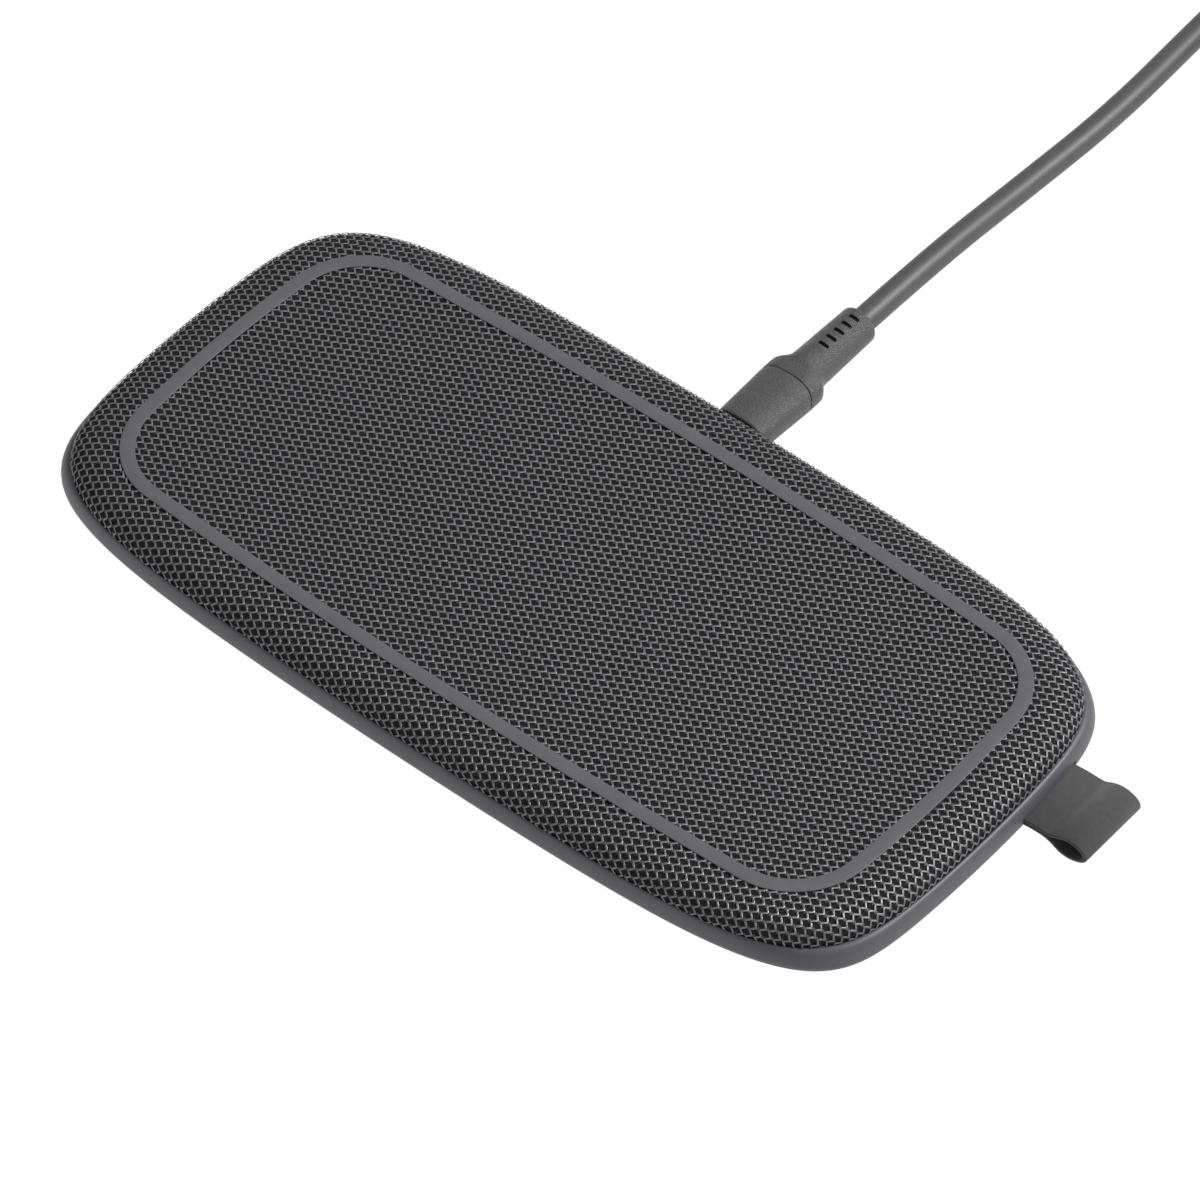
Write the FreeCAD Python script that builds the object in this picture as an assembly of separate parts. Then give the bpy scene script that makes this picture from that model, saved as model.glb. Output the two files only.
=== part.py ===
import FreeCAD, Part
import math
import os

# Fabric-topped wireless charging pad with a plug-in USB lead.
# Frame: origin on the resting plane under the middle of the pad, +X towards the loop tag,
# +Y towards the USB socket, +Z up. All sizes are in millimetres.

V = FreeCAD.Vector

# ---------------------------------------------------------------- driving sizes: heights
PAD_H = 10.6            # top of the anti-slip band
BAND_PROUD = 0.2        # band stands this far above the fabric
BAND_SUNK = 0.2         # depth of the groove that the band sits in
FABRIC_T = 0.8
FILM_T = 0.1
PLATE_T = 1.2           # top shell's flat plate
SEAM_Z = 6.3            # where the fabric meets the rim
RIM_WIDE_Z = 3.0        # height at which the rim is widest
BASE_Z = 0.6            # underside of the base shell
FLOOR_Z = 2.4           # top of the base shell's floor
MAT_T = 1.2
FABRIC_Z = PAD_H - BAND_PROUD
PLATE_TOP_Z = FABRIC_Z - FABRIC_T - FILM_T
PLATE_LOW_Z = PLATE_TOP_Z - PLATE_T
HEM_T = 0.5             # fabric folded in under the top shell's edge
HEM_Z = SEAM_Z + HEM_T

# ---------------------------------------------------------------- driving sizes: outlines
# A pad outline is (|x| / a)^p + (|y| / b)^q = 1, whose half-lengths a and b bulge a little:
# a = half_x (1 - bulge_x (y / half_y)^2) and b = half_y (1 - bulge_y (x / half_x)^2).
SEAM_OUTLINE = dict(half_x=88.4, half_y=45.2, p=6.9, q=5.8)
RIM_OUTLINE = dict(half_x=89.75, half_y=46.0, p=5.55, q=7.55)
BULGE_X, BULGE_Y = 0.040, 0.059
OUTLINE_POINTS = 72
SHOULDER_W = 8.3        # from the seam in to the flat top
SHOULDER_POWER = 2.4    # squareness of the shoulder's quarter curve
SHOULDER_STEPS = 8
BASE_ROUND = 4.2        # bottom edge rounding, inwards from the widest line
WALL_INSET = 2.3        # base wall's inner face, in from the seam outline
RIB_T = 0.9             # top shell's locating rib inside the base wall
RIB_GAP = 0.15
RIB_LOW_Z = 5.2
RIB_NOTCH = 6.5         # half-width of the rib's gap over the USB socket
MAT_INSET = 7.0         # mat's edge, in from the seam outline; it covers the case screws

# ---------------------------------------------------------------- anti-slip band (flat ring)
BAND_HALF_X, BAND_HALF_Y, BAND_W = 80.0, 36.5, 2.7
BAND_LONG_R, BAND_SHORT_R, BAND_CORNER_R = 1298.0, 259.0, 15.6

# ---------------------------------------------------------------- USB socket and plug
USB_X, USB_Z = -0.35, 4.5
SOCKET_W, SOCKET_H, SOCKET_WALL = 8.94, 3.16, 0.3
SOCKET_Y0, SOCKET_Y1 = 37.6, 44.9
SOCKET_FEET_Y = (38.4, 40.4)
SOCKET_NOTCH = 4.6      # half-width of the socket's opening in the base wall
TONGUE_W, TONGUE_T = 6.69, 0.7
PLUG_W, PLUG_H, PLUG_WALL = 8.25, 2.4, 0.3
PLUG_R = 1.15
PLUG_REACH = 6.65       # metal shell in front of the overmould
PLUG_SEAT = 2.0         # metal shell inside the overmould
BODY_Y0 = 45.5          # front of the overmoulded housing, inside a shallow pocket in the rim
POCKET_HALF_W, POCKET_Y = 5.8, 45.15
BODY_Y1 = 58.0          # parting line between housing and strain relief
PARTING = 0.15
BODY_FRONT = (10.45, 7.0)
BODY_WIDE = (11.45, 7.2)
BODY_POWER = 2.6        # squareness of the housing's section
NECK_Y1 = 78.7
NECK_D0, NECK_D1, NECK_ROUND = 7.83, 7.27, 0.7
RELIEF_SLOTS, SLOT_PITCH, SLOT_Y0, SLOT_X = 5, 2.1, 67.95, 0.05
SLOT_SIZE = (1.95, 0.6, 0.9)
CABLE_D = 4.8

# ---------------------------------------------------------------- stored lead
COIL_MEAN_R = 25.8
COIL_TURNS_WIDE = 4     # cable diameters across the coil's section
COIL_LAYERS = 2
COIL_LIFT = 0.5         # thickness of the tie under it
COIL_X = USB_X + COIL_MEAN_R + 1.5 * CABLE_D
COIL_Y = 200.0
TAIL_X, TAIL_Z = COIL_X + 37.0, 4.3
TAIL_Y = COIL_Y - 44.0  # where the far plug's strain relief begins

# ---------------------------------------------------------------- far plug, which points to -Y
A_SHELL, A_SHELL_R, A_SHELL_REACH, A_WALL = (12.0, 4.5), 0.5, 12.0, 0.3
A_SEAT = 4.0            # metal shell inside the housing
A_WINDOW, A_WINDOW_X, A_WINDOW_Y = (2.2, 2.5), 2.9, 5.5
A_TONGUE_W, A_TONGUE_T = 11.0, 1.84
A_HOUSING, A_HOUSING_LEN, A_POWER = (15.4, 7.8), 20.0, 4.5
A_BOOT_LEN, A_BOOT_D0, A_BOOT_D1 = 11.0, 6.9, 7.7
A_BODY_Y = TAIL_Y - A_BOOT_LEN
A_FRONT_Y = A_BODY_Y - A_HOUSING_LEN

# ---------------------------------------------------------------- inside
COIL_CX = 44.0
TX_COIL_R0, TX_COIL_R1, TX_COIL_T = 10.3, 25.0, 1.7
FERRITE_SIDE, FERRITE_T = 52.0, 1.5
SHIELD_SIDE, SHIELD_T = 54.0, 0.6
CARRIER_SIDE, CARRIER_W = 54.0, 5.0
SHIELD_Z = 4.4
FERRITE_Z = SHIELD_Z + SHIELD_T
TX_COIL_Z = FERRITE_Z + FERRITE_T
PCB_X0, PCB_X1, PCB_Y0, PCB_Y1 = -13.6, 12.5, -30.0, 42.0
PCB_Z, PCB_T = 3.3, 1.0
PCB_TOP = PCB_Z + PCB_T
CASE_SCREWS = [(sx * 76.0, sy * 29.0) for sx in (-1, 1) for sy in (-1, 1)]
CASE_SCREWS += [(sx * 22.0, sy * 36.0) for sx in (-1, 1) for sy in (-1, 1)]
PCB_SCREWS = [(USB_X - 9.0, 33.0), (USB_X + 9.0, -26.0)]
PCB_RESTS = PCB_SCREWS + [(USB_X + 9.0, 33.0), (USB_X - 9.0, -26.0)]

# ---------------------------------------------------------------- loop tag
TAG_Y0, TAG_Y1 = 9.0, 24.0
TAG_SLOT_Z = (1.85, 3.85)  # heights of the slot in the rim
TAG_SLOT_GAP = 0.15
# Side view (x, z) of the strap's outside and of the gap inside its loop.
TAG_OUTER_TOP = [(89.75, 3.71), (92.25, 3.66), (94.25, 3.96), (96.65, 5.16), (98.85, 5.76),
                 (100.85, 5.16)]
TAG_OUTER_END = [(102.15, 3.26), (101.55, 1.66)]
TAG_OUTER_LOW = [(99.65, 0.81), (96.85, 0.91), (94.25, 1.61), (92.25, 1.96), (89.75, 2.01)]
TAG_GAP = [(94.25, 2.81), (96.55, 4.21), (98.85, 4.86), (100.45, 4.36), (101.25, 3.16),
           (100.65, 2.16), (99.15, 1.71), (96.65, 1.86)]
TAG_ROOT_X = 82.4
TAG_CLAMP_X = (80.7, 83.2)
TAG_CLAMP_TOP = 4.9
TAG_CLAMP_SIDE = 1.2    # how far the clamp reaches past the strap on each side


# ================================================================ helpers
def box(x0, x1, y0, y1, z0, z1):
    return Part.makeBox(x1 - x0, y1 - y0, z1 - z0, V(x0, y0, z0))


def centred_box(cx, cy, width, depth, z0, z1):
    return box(cx - width / 2, cx + width / 2, cy - depth / 2, cy + depth / 2, z0, z1)


def post(cx, cy, radius, z0, z1):
    return Part.makeCylinder(radius, z1 - z0, V(cx, cy, z0))


def level(outline, x, y):
    """The outline formula's value at a point: 1 on the line, less inside."""
    half_x, half_y = outline["half_x"], outline["half_y"]
    a = half_x * (1 - BULGE_X * (y / half_y) ** 2)
    b = half_y * (1 - BULGE_Y * (x / half_x) ** 2)
    return (abs(x) / a) ** outline["p"] + (abs(y) / b) ** outline["q"]


def outline_points(outline):
    """Points around a pad outline, each with its outward normal."""
    points = []
    for i in range(OUTLINE_POINTS):
        turn = 2 * math.pi * (i + 0.5) / OUTLINE_POINTS
        c, s = math.cos(turn), math.sin(turn)
        dx = outline["half_x"] * math.copysign(abs(c) ** (2 / outline["p"]), c)
        dy = outline["half_y"] * math.copysign(abs(s) ** (2 / outline["q"]), s)
        low, high = 0.8, 1.2
        for _ in range(40):
            mid = (low + high) / 2
            if level(outline, mid * dx, mid * dy) < 1:
                low = mid
            else:
                high = mid
        x, y, step = low * dx, low * dy, 1e-4
        gx = level(outline, x + step, y) - level(outline, x - step, y)
        gy = level(outline, x, y + step) - level(outline, x, y - step)
        size = math.hypot(gx, gy)
        points.append((x, y, gx / size, gy / size))
    return points


SEAM = outline_points(SEAM_OUTLINE)
RIM = outline_points(RIM_OUTLINE)


def smooth_wire(points):
    curve = Part.BSplineCurve()
    curve.interpolate(Points=points, PeriodicFlag=True)
    return Part.Wire([curve.toShape()])


def inset_wire(inset, z, base=SEAM):
    """A pad outline moved inwards by a distance."""
    return smooth_wire([V(x - inset * nx, y - inset * ny, z) for x, y, nx, ny in base])


def rim_wire(share, z):
    """An outline between the seam (share 0) and the widest line (share 1)."""
    pairs = zip(SEAM, RIM)
    return smooth_wire([V(s[0] + share * (r[0] - s[0]), s[1] + share * (r[1] - s[1]), z)
                        for s, r in pairs])


def loft(wires):
    return Part.makeLoft(wires, True, True)


def prism(inset, z0, z1):
    return Part.Face(inset_wire(inset, z0)).extrude(V(0, 0, z1 - z0))


def shoulder_wires(inset_low, z_low, z_top):
    """Sections of the rounded shoulder, from its foot up to the flat top."""
    wires = []
    for i in range(SHOULDER_STEPS, -1, -1):
        turn = i / SHOULDER_STEPS * math.pi / 2
        out = abs(math.sin(turn)) ** (2 / SHOULDER_POWER)
        down = 1 - abs(math.cos(turn)) ** (2 / SHOULDER_POWER)
        inset = SHOULDER_W - (SHOULDER_W - inset_low) * out
        wires.append(inset_wire(inset, z_top - (z_top - z_low) * down))
    return wires


def arc(centre, radius, a0, a1, z):
    spots = [V(centre[0] + radius * math.cos(a), centre[1] + radius * math.sin(a), z)
             for a in (a0, (a0 + a1) / 2, a1)]
    return Part.Arc(*spots).toShape()


def band_wire(inset, z):
    """Four long arcs joined by four tangent corner arcs."""
    hx, hy = BAND_HALF_X - inset, BAND_HALF_Y - inset
    long_r, short_r, corner_r = BAND_LONG_R - inset, BAND_SHORT_R - inset, BAND_CORNER_R - inset
    long_c, short_c = (0.0, hy - long_r), (hx - short_r, 0.0)
    d1, d2 = long_r - corner_r, short_r - corner_r
    span = math.hypot(short_c[0] - long_c[0], short_c[1] - long_c[1])
    along = (d1 * d1 - d2 * d2 + span * span) / (2 * span)
    aside = math.sqrt(d1 * d1 - along * along)
    ux, uy = (short_c[0] - long_c[0]) / span, (short_c[1] - long_c[1]) / span
    corner = (long_c[0] + along * ux + aside * uy, long_c[1] + along * uy - aside * ux)
    a_long = math.atan2(corner[1] - long_c[1], corner[0] - long_c[0])
    a_short = math.atan2(corner[1] - short_c[1], corner[0] - short_c[0])
    half, full = math.pi / 2, math.pi
    edges = [arc(short_c, short_r, -a_short, a_short, z),
             arc(corner, corner_r, a_short, a_long, z),
             arc(long_c, long_r, a_long, full - a_long, z),
             arc((-corner[0], corner[1]), corner_r, full - a_long, full - a_short, z),
             arc((-short_c[0], 0.0), short_r, full - a_short, full + a_short, z),
             arc((-corner[0], -corner[1]), corner_r, full + a_short, full + a_long, z),
             arc((0.0, -long_c[1]), long_r, 3 * half - (half - a_long), 3 * half + (half - a_long), z),
             arc((corner[0], -corner[1]), corner_r, 2 * full - a_long, 2 * full - a_short, z)]
    return Part.Wire(edges)


def band_solid(z0, z1):
    ring = Part.Face(band_wire(0, z0)).cut(Part.Face(band_wire(BAND_W, z0)))
    return ring.extrude(V(0, 0, z1 - z0))


def slab(cx, cz, width, height, radius, y0, y1):
    """A bar along Y whose section is a rectangle with round corners."""
    bar = box(cx - width / 2, cx + width / 2, y0, y1, cz - height / 2, cz + height / 2)
    edges = [e for e in bar.Edges if abs(e.Vertexes[0].Y - e.Vertexes[1].Y) > 1e-6]
    return bar.makeFillet(radius, edges)


def oval_wire(cx, cz, y, width, height, power):
    points = []
    for i in range(32):
        turn = 2 * math.pi * (i + 0.5) / 32
        c, s = math.cos(turn), math.sin(turn)
        points.append(V(cx + width / 2 * math.copysign(abs(c) ** (2 / power), c), y,
                        cz + height / 2 * math.copysign(abs(s) ** (2 / power), s)))
    return smooth_wire(points)


def wire_path(points):
    """Straight runs joined by tangent arcs, as large as each pair of runs allows."""
    edges, start, smallest = [], points[0], 1e9
    for before, here, after in zip(points, points[1:], points[2:]):
        run_in, run_out = here - before, after - here
        turn = run_in.getAngle(run_out)
        back = 0.45 * min(run_in.Length, run_out.Length)
        smallest = min(smallest, back / math.tan(turn / 2))
        d_in, d_out = V(run_in).normalize(), V(run_out).normalize()
        enter, leave = here - d_in * back, here + d_out * back
        radius = back / math.tan(turn / 2)
        centre = here + (d_out - d_in).normalize() * math.hypot(radius, back)
        middle = centre + (here - centre).normalize() * radius
        edges += [Part.LineSegment(start, enter).toShape(), Part.Arc(enter, middle, leave).toShape()]
        start = leave
    edges.append(Part.LineSegment(start, points[-1]).toShape())
    return Part.Wire(edges), smallest


def tube(points, diameter, label):
    path, smallest = wire_path(points)
    start_way = (points[1] - points[0]).normalize()
    circle = Part.Wire([Part.Circle(points[0], start_way, diameter / 2).toShape()])
    solid = path.makePipeShell([circle], True, True)
    ideal = math.pi * diameter ** 2 / 4 * path.Length
    print(f"{label}: length {path.Length:.1f}, smallest radius {smallest:.1f}, "
          f"volume ratio {solid.Volume / ideal:.4f}")
    return solid


def thin_wire(points, diameter):
    """A stiff inside wire: straight runs with a ball at each bend."""
    pieces = [Part.makeSphere(diameter / 2, p) for p in points[1:-1]]
    for a, b in zip(points, points[1:]):
        pieces.append(Part.makeCylinder(diameter / 2, (b - a).Length, a, b - a))
    return pieces[0].multiFuse(pieces[1:])


# ================================================================ casing
def fabric_inside():
    return loft(shoulder_wires(FABRIC_T, SEAM_Z, FABRIC_Z - FABRIC_T))


def make_fabric_cover():
    skin = loft(shoulder_wires(0.0, SEAM_Z, FABRIC_Z)).cut(fabric_inside())
    hem = prism(FABRIC_T - 0.05, SEAM_Z, HEM_Z).cut(prism(WALL_INSET, SEAM_Z - 1, HEM_Z + 1))
    groove = band_solid(FABRIC_Z - BAND_SUNK, PAD_H + 1)
    return skin.fuse(hem).cut(groove).removeSplitter()


def make_band():
    return band_solid(FABRIC_Z - BAND_SUNK, PAD_H).Solids[0]


def make_top_shell():
    shell = fabric_inside().common(box(-100, 100, -60, 60, HEM_Z, PLATE_TOP_Z))
    rib_out = WALL_INSET + RIB_GAP
    shell = shell.cut(prism(rib_out + RIB_T, 0, PLATE_LOW_Z))
    rib = prism(rib_out, RIB_LOW_Z, HEM_Z + 0.2).cut(prism(rib_out + RIB_T, 0, 20))
    rib = rib.cut(box(USB_X - RIB_NOTCH, USB_X + RIB_NOTCH, 35, 50, 0, HEM_Z))
    shell = shell.fuse(rib)
    for x, y in CASE_SCREWS:
        shell = shell.fuse(post(x, y, 2.6, 4.4, PLATE_LOW_Z + 0.2))
        shell = shell.cut(post(x, y, 1.0, 4.0, 7.8))
    return shell.removeSplitter()


def make_base_shell():
    wires = []
    for turn in (90, 65, 40, 20):
        inset = BASE_ROUND * (1 - math.cos(math.radians(turn)))
        drop = (RIM_WIDE_Z - BASE_Z) * math.sin(math.radians(turn))
        wires.append(inset_wire(inset, RIM_WIDE_Z - drop, RIM))
    for turn in (90, 70, 50, 32, 16, 0):
        rise = (SEAM_Z - RIM_WIDE_Z) * math.cos(math.radians(turn))
        wires.append(rim_wire(math.sin(math.radians(turn)), RIM_WIDE_Z + rise))
    shell = loft(wires).cut(prism(WALL_INSET, FLOOR_Z, SEAM_Z + 1))
    shell = shell.cut(prism(MAT_INSET, BASE_Z - 1, MAT_T))
    for x, y in CASE_SCREWS:
        shell = shell.fuse(post(x, y, 3.2, FLOOR_Z - 0.2, 4.4))
        shell = shell.cut(post(x, y, 1.15, 0, 6)).cut(post(x, y, 2.2, 0, 2.6))
    for x, y in PCB_RESTS:
        shell = shell.fuse(post(x, y, 2.4, FLOOR_Z - 0.2, PCB_Z))
    for x, y in PCB_SCREWS:
        shell = shell.cut(post(x, y, 0.85, 1.7, 5))
    shell = shell.cut(box(USB_X - SOCKET_NOTCH, USB_X + SOCKET_NOTCH, 41, 50, USB_Z - 1.7, SEAM_Z + 1))
    shell = shell.cut(box(USB_X - POCKET_HALF_W, USB_X + POCKET_HALF_W, POCKET_Y, 50, 0, SEAM_Z + 1))
    slot_x = TAG_ROOT_X - 0.2
    shell = shell.cut(box(slot_x, 92, TAG_Y0 - TAG_SLOT_GAP, TAG_Y1 + TAG_SLOT_GAP, *TAG_SLOT_Z))
    return shell.removeSplitter()


def make_mat():
    return prism(MAT_INSET, 0, MAT_T)


def make_case_screws():
    screws = []
    for x, y in CASE_SCREWS:
        head = post(x, y, 1.9, 1.5, 2.6).cut(centred_box(x, y, 2.4, 0.6, 1, 2.0))
        screws.append(head.cut(centred_box(x, y, 0.6, 2.4, 1, 2.0)).fuse(post(x, y, 0.95, 2.6, 7.4)))
    return Part.makeCompound(screws)


def make_pcb_screws():
    screws = []
    for x, y in PCB_SCREWS:
        head = post(x, y, 1.5, PCB_TOP, PCB_TOP + 0.9).cut(centred_box(x, y, 2, 0.5, PCB_TOP + 0.5, 6))
        screws.append(head.fuse(post(x, y, 0.75, 1.9, PCB_TOP)))
    return Part.makeCompound(screws)


# ================================================================ coils and board
def make_carrier(cx):
    inner = CARRIER_SIDE - 2 * CARRIER_W
    frame = centred_box(cx, 0, CARRIER_SIDE, CARRIER_SIDE, FLOOR_Z, SHIELD_Z)
    frame = frame.cut(centred_box(cx, 0, inner, inner, FLOOR_Z - 1, SHIELD_Z + 1))
    bars = centred_box(cx, 0, inner + 1, 4, FLOOR_Z, SHIELD_Z)
    return frame.fuse(bars.fuse(centred_box(cx, 0, 4, inner + 1, FLOOR_Z, SHIELD_Z))).removeSplitter()


def make_plate(cx, side, z0, thick, corner):
    plate = centred_box(cx, 0, side, side, z0, z0 + thick)
    edges = [e for e in plate.Edges if abs(e.Vertexes[0].Z - e.Vertexes[1].Z) > 1e-6]
    return plate.makeFillet(corner, edges)


def make_tx_coil(cx):
    """A flat coil of stranded wire: one ring with a ridge for each turn."""
    turns = 12
    pitch = (TX_COIL_R1 - TX_COIL_R0) / turns
    outline = [V(TX_COIL_R0, 0, 0), V(TX_COIL_R1, 0, 0), V(TX_COIL_R1, 0, TX_COIL_T - 0.25)]
    for i in range(turns, 0, -1):
        outline.append(V(TX_COIL_R0 + (i - 0.5) * pitch, 0, TX_COIL_T))
        outline.append(V(TX_COIL_R0 + (i - 1) * pitch, 0, TX_COIL_T - 0.25))
    ring = Part.Face(Part.makePolygon(outline + [outline[0]])).revolve(V(), V(0, 0, 1), 360)
    ring.translate(V(cx, 0, TX_COIL_Z))
    return ring


def make_coil_leads(side, coil, board):
    """Both ends of a coil's wire, down to the board."""
    leads = []
    edge = PCB_X1 - 1.5 if side > 0 else PCB_X0 + 1.5
    for y in (-4.0, 4.0):
        path = [V(side * (COIL_CX - TX_COIL_R1 + 1.5), y, TX_COIL_Z + 0.8),
                V(side * 16.2, y, TX_COIL_Z + 0.8), V(edge, y, 5.4), V(edge, y, PCB_TOP - 0.2)]
        leads.append(thin_wire(path, 0.9).cut(coil).cut(board))
    return Part.makeCompound(leads)


def make_pcb():
    board = box(PCB_X0, PCB_X1, PCB_Y0, PCB_Y1, PCB_Z, PCB_TOP)
    board = board.cut(box(USB_X - 4.7, USB_X + 4.7, SOCKET_Y0 - 0.5, 50, 0, 10))
    for x, y in PCB_SCREWS:
        board = board.cut(post(x, y, 0.9, 0, 10))
    return board


def on_board(sizes):
    """Separate component bodies standing on the board."""
    return Part.makeCompound([centred_box(USB_X + x, y, w, d, PCB_TOP, PCB_TOP + h)
                              for x, y, w, d, h in sizes])


def make_chips():
    return on_board([(0, 14, 7, 7, 0.9), (-7, -8, 5, 5, 0.85), (6, -8, 5, 5, 0.85), (7, 22, 4, 3, 1.0)])


def make_inductors():
    coils = []
    for x, y in ((-7.5, 6.5), (7.0, 6.5)):
        body = centred_box(USB_X + x, y, 5.6, 5.6, PCB_TOP, PCB_TOP + 2.8)
        edges = [e for e in body.Edges if abs(e.Vertexes[0].Z - e.Vertexes[1].Z) > 1e-6]
        coils.append(body.makeFillet(1.2, edges))
    return Part.makeCompound(coils)


def make_capacitors():
    tall = [(sx * 4.5, -15.5 - 4 * i, 6.5, 3.0, 2.6) for sx in (-1, 1) for i in range(2)]
    small = [(-9 + 3 * i, 27.5, 1.6, 0.9, 0.9) for i in range(6)]
    return on_board(tall + small)


def make_thermistors():
    """One bead on each ferrite, in the middle of its coil."""
    return Part.makeCompound([centred_box(s * COIL_CX, 0, 2.0, 1.3, TX_COIL_Z, TX_COIL_Z + 0.9)
                              for s in (-1, 1)])


# ================================================================ socket and lead
def make_socket_shell():
    shell = slab(USB_X, USB_Z, SOCKET_W, SOCKET_H, 1.5, SOCKET_Y0, SOCKET_Y1)
    shell = shell.cut(slab(USB_X, USB_Z, SOCKET_W - 2 * SOCKET_WALL, SOCKET_H - 2 * SOCKET_WALL, 1.2,
                           SOCKET_Y0 + SOCKET_WALL, SOCKET_Y1 + 1))
    for side in (-1, 1):
        for y in SOCKET_FEET_Y:
            x = USB_X + side * (SOCKET_W / 2 + 0.4)
            shell = shell.fuse(centred_box(x, y, 1.4, 1.0, PCB_TOP, PCB_TOP + 0.35))
    return shell.removeSplitter()


def make_socket_tongue():
    back = SOCKET_Y0 + SOCKET_WALL
    tongue = slab(USB_X, USB_Z, TONGUE_W, TONGUE_T, 0.25, back, SOCKET_Y1 - 1.2)
    foot = slab(USB_X, USB_Z, SOCKET_W - 2 * SOCKET_WALL, SOCKET_H - 2 * SOCKET_WALL, 1.2,
                back, back + 0.7)
    return tongue.fuse(foot).removeSplitter()


def make_plug_shell():
    y0, y1 = BODY_Y0 - PLUG_REACH, BODY_Y0 + PLUG_SEAT
    shell = slab(USB_X, USB_Z, PLUG_W, PLUG_H, PLUG_R, y0, y1)
    width, height = PLUG_W - 2 * PLUG_WALL, PLUG_H - 2 * PLUG_WALL
    return shell.cut(slab(USB_X, USB_Z, width, height, PLUG_R - PLUG_WALL, y0 - 1, y1 + 1))


def make_plug_insert():
    y0, y1 = BODY_Y0 - PLUG_REACH + 0.2, BODY_Y0 + PLUG_SEAT
    width, height = PLUG_W - 2 * PLUG_WALL, PLUG_H - 2 * PLUG_WALL
    core = slab(USB_X, USB_Z, width, height, PLUG_R - PLUG_WALL, y0, y1)
    return core.cut(slab(USB_X, USB_Z, TONGUE_W + 0.2, TONGUE_T + 0.2, 0.3, y0 - 1, y0 + 5.6))


def make_plug_housing(x=USB_X, z=USB_Z):
    body = loft([oval_wire(x, z, BODY_Y0, BODY_FRONT[0] - 0.8, BODY_FRONT[1] - 0.8, BODY_POWER),
                 oval_wire(x, z, BODY_Y0 + 0.4, *BODY_FRONT, BODY_POWER),
                 oval_wire(x, z, BODY_Y1, *BODY_WIDE, BODY_POWER)])
    return body.cut(slab(x, z, PLUG_W, PLUG_H, PLUG_R, BODY_Y0 - 1, BODY_Y0 + PLUG_SEAT))


def blend_oval(x, z, y, share):
    """A section between the housing's (share 0) and the round neck's (share 1)."""
    width = BODY_WIDE[0] + share * (NECK_D0 - BODY_WIDE[0])
    height = BODY_WIDE[1] + share * (NECK_D0 - BODY_WIDE[1])
    return oval_wire(x, z, y, width, height, BODY_POWER + share * (2 - BODY_POWER))


def make_relief():
    x, z = USB_X, USB_Z
    stations = [(BODY_Y1 + PARTING, 0), (59.6, 0), (60.9, 0.01), (61.6, 0.1), (62.2, 0.35), (62.8, 0.65),
                (63.4, 0.87), (64.2, 0.97), (65.0, 1)]
    wires = [blend_oval(x, z, y, share) for y, share in stations]
    wires.append(oval_wire(x, z, NECK_Y1 - NECK_ROUND, NECK_D1, NECK_D1, 2))
    wires.append(oval_wire(x, z, NECK_Y1, NECK_D1 - 1.0, NECK_D1 - 1.0, 2))
    relief = loft(wires)
    for i in range(RELIEF_SLOTS):
        y = SLOT_Y0 + i * SLOT_PITCH
        top = USB_Z + NECK_D0 / 2
        relief = relief.cut(centred_box(SLOT_X, y, SLOT_SIZE[0], SLOT_SIZE[1], top - SLOT_SIZE[2], top + 1))
    return relief


def make_lead_coil():
    """The stored lead's outer shape: a ring of turns side by side, two layers high."""
    half = COIL_TURNS_WIDE * CABLE_D / 2
    section = box(COIL_MEAN_R - half, COIL_MEAN_R + half, -1, 1, 0, COIL_LAYERS * CABLE_D)
    face = section.slice(V(0, 1, 0), 0)[0]
    ring = Part.Face(face).revolve(V(), V(0, 0, 1), 360)
    ring.translate(V(COIL_X, COIL_Y, COIL_LIFT))
    return ring.makeFillet(CABLE_D / 2 - 0.1, ring.Edges)


def make_coil_tie(coil):
    """A strap round the coil's section on its far side."""
    half = COIL_TURNS_WIDE * CABLE_D / 2 + COIL_LIFT
    y = COIL_Y + COIL_MEAN_R
    strap = box(COIL_X - 5, COIL_X + 5, y - half, y + half + 1.2, 0,
                COIL_LAYERS * CABLE_D + 2 * COIL_LIFT)
    edges = [e for e in strap.Edges if abs(e.Vertexes[0].X - e.Vertexes[1].X) > 1e-6]
    return strap.makeFillet(2.4, edges).cut(coil)


LEAD_ROUTE = [V(USB_X, NECK_Y1, USB_Z), V(USB_X, 100.0, USB_Z), V(USB_X + 0.3, 124.0, 2.6),
              V(USB_X + 1.6, 150.0, 2.42), V(USB_X + 0.4, 176.0, 2.42), V(USB_X, 196.0, 2.9)]
TAIL_ROUTE = [V(COIL_X + 32.0, COIL_Y + 4.0, 7.7), V(COIL_X + 34.4, COIL_Y - 12.0, 7.4),
              V(COIL_X + 36.4, COIL_Y - 24.0, 5.4), V(TAIL_X, COIL_Y - 35.0, TAIL_Z),
              V(TAIL_X, TAIL_Y, TAIL_Z)]


def make_lead_tube(coil):
    pieces = [tube(LEAD_ROUTE, CABLE_D, "lead"), tube(TAIL_ROUTE, CABLE_D, "tail")]
    return Part.makeCompound([piece.cut(coil) for piece in pieces])



# ---------------------------------------------------------------- far plug
def a_section(y, width, height, power):
    return oval_wire(TAIL_X, TAIL_Z, y, width, height, power)


def make_a_boot():
    return loft([a_section(TAIL_Y, A_BOOT_D0 - 0.7, A_BOOT_D0 - 0.7, 2),
                 a_section(TAIL_Y - 0.6, A_BOOT_D0, A_BOOT_D0, 2),
                 a_section(A_BODY_Y, A_BOOT_D1, A_BOOT_D1, 2)])


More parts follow.
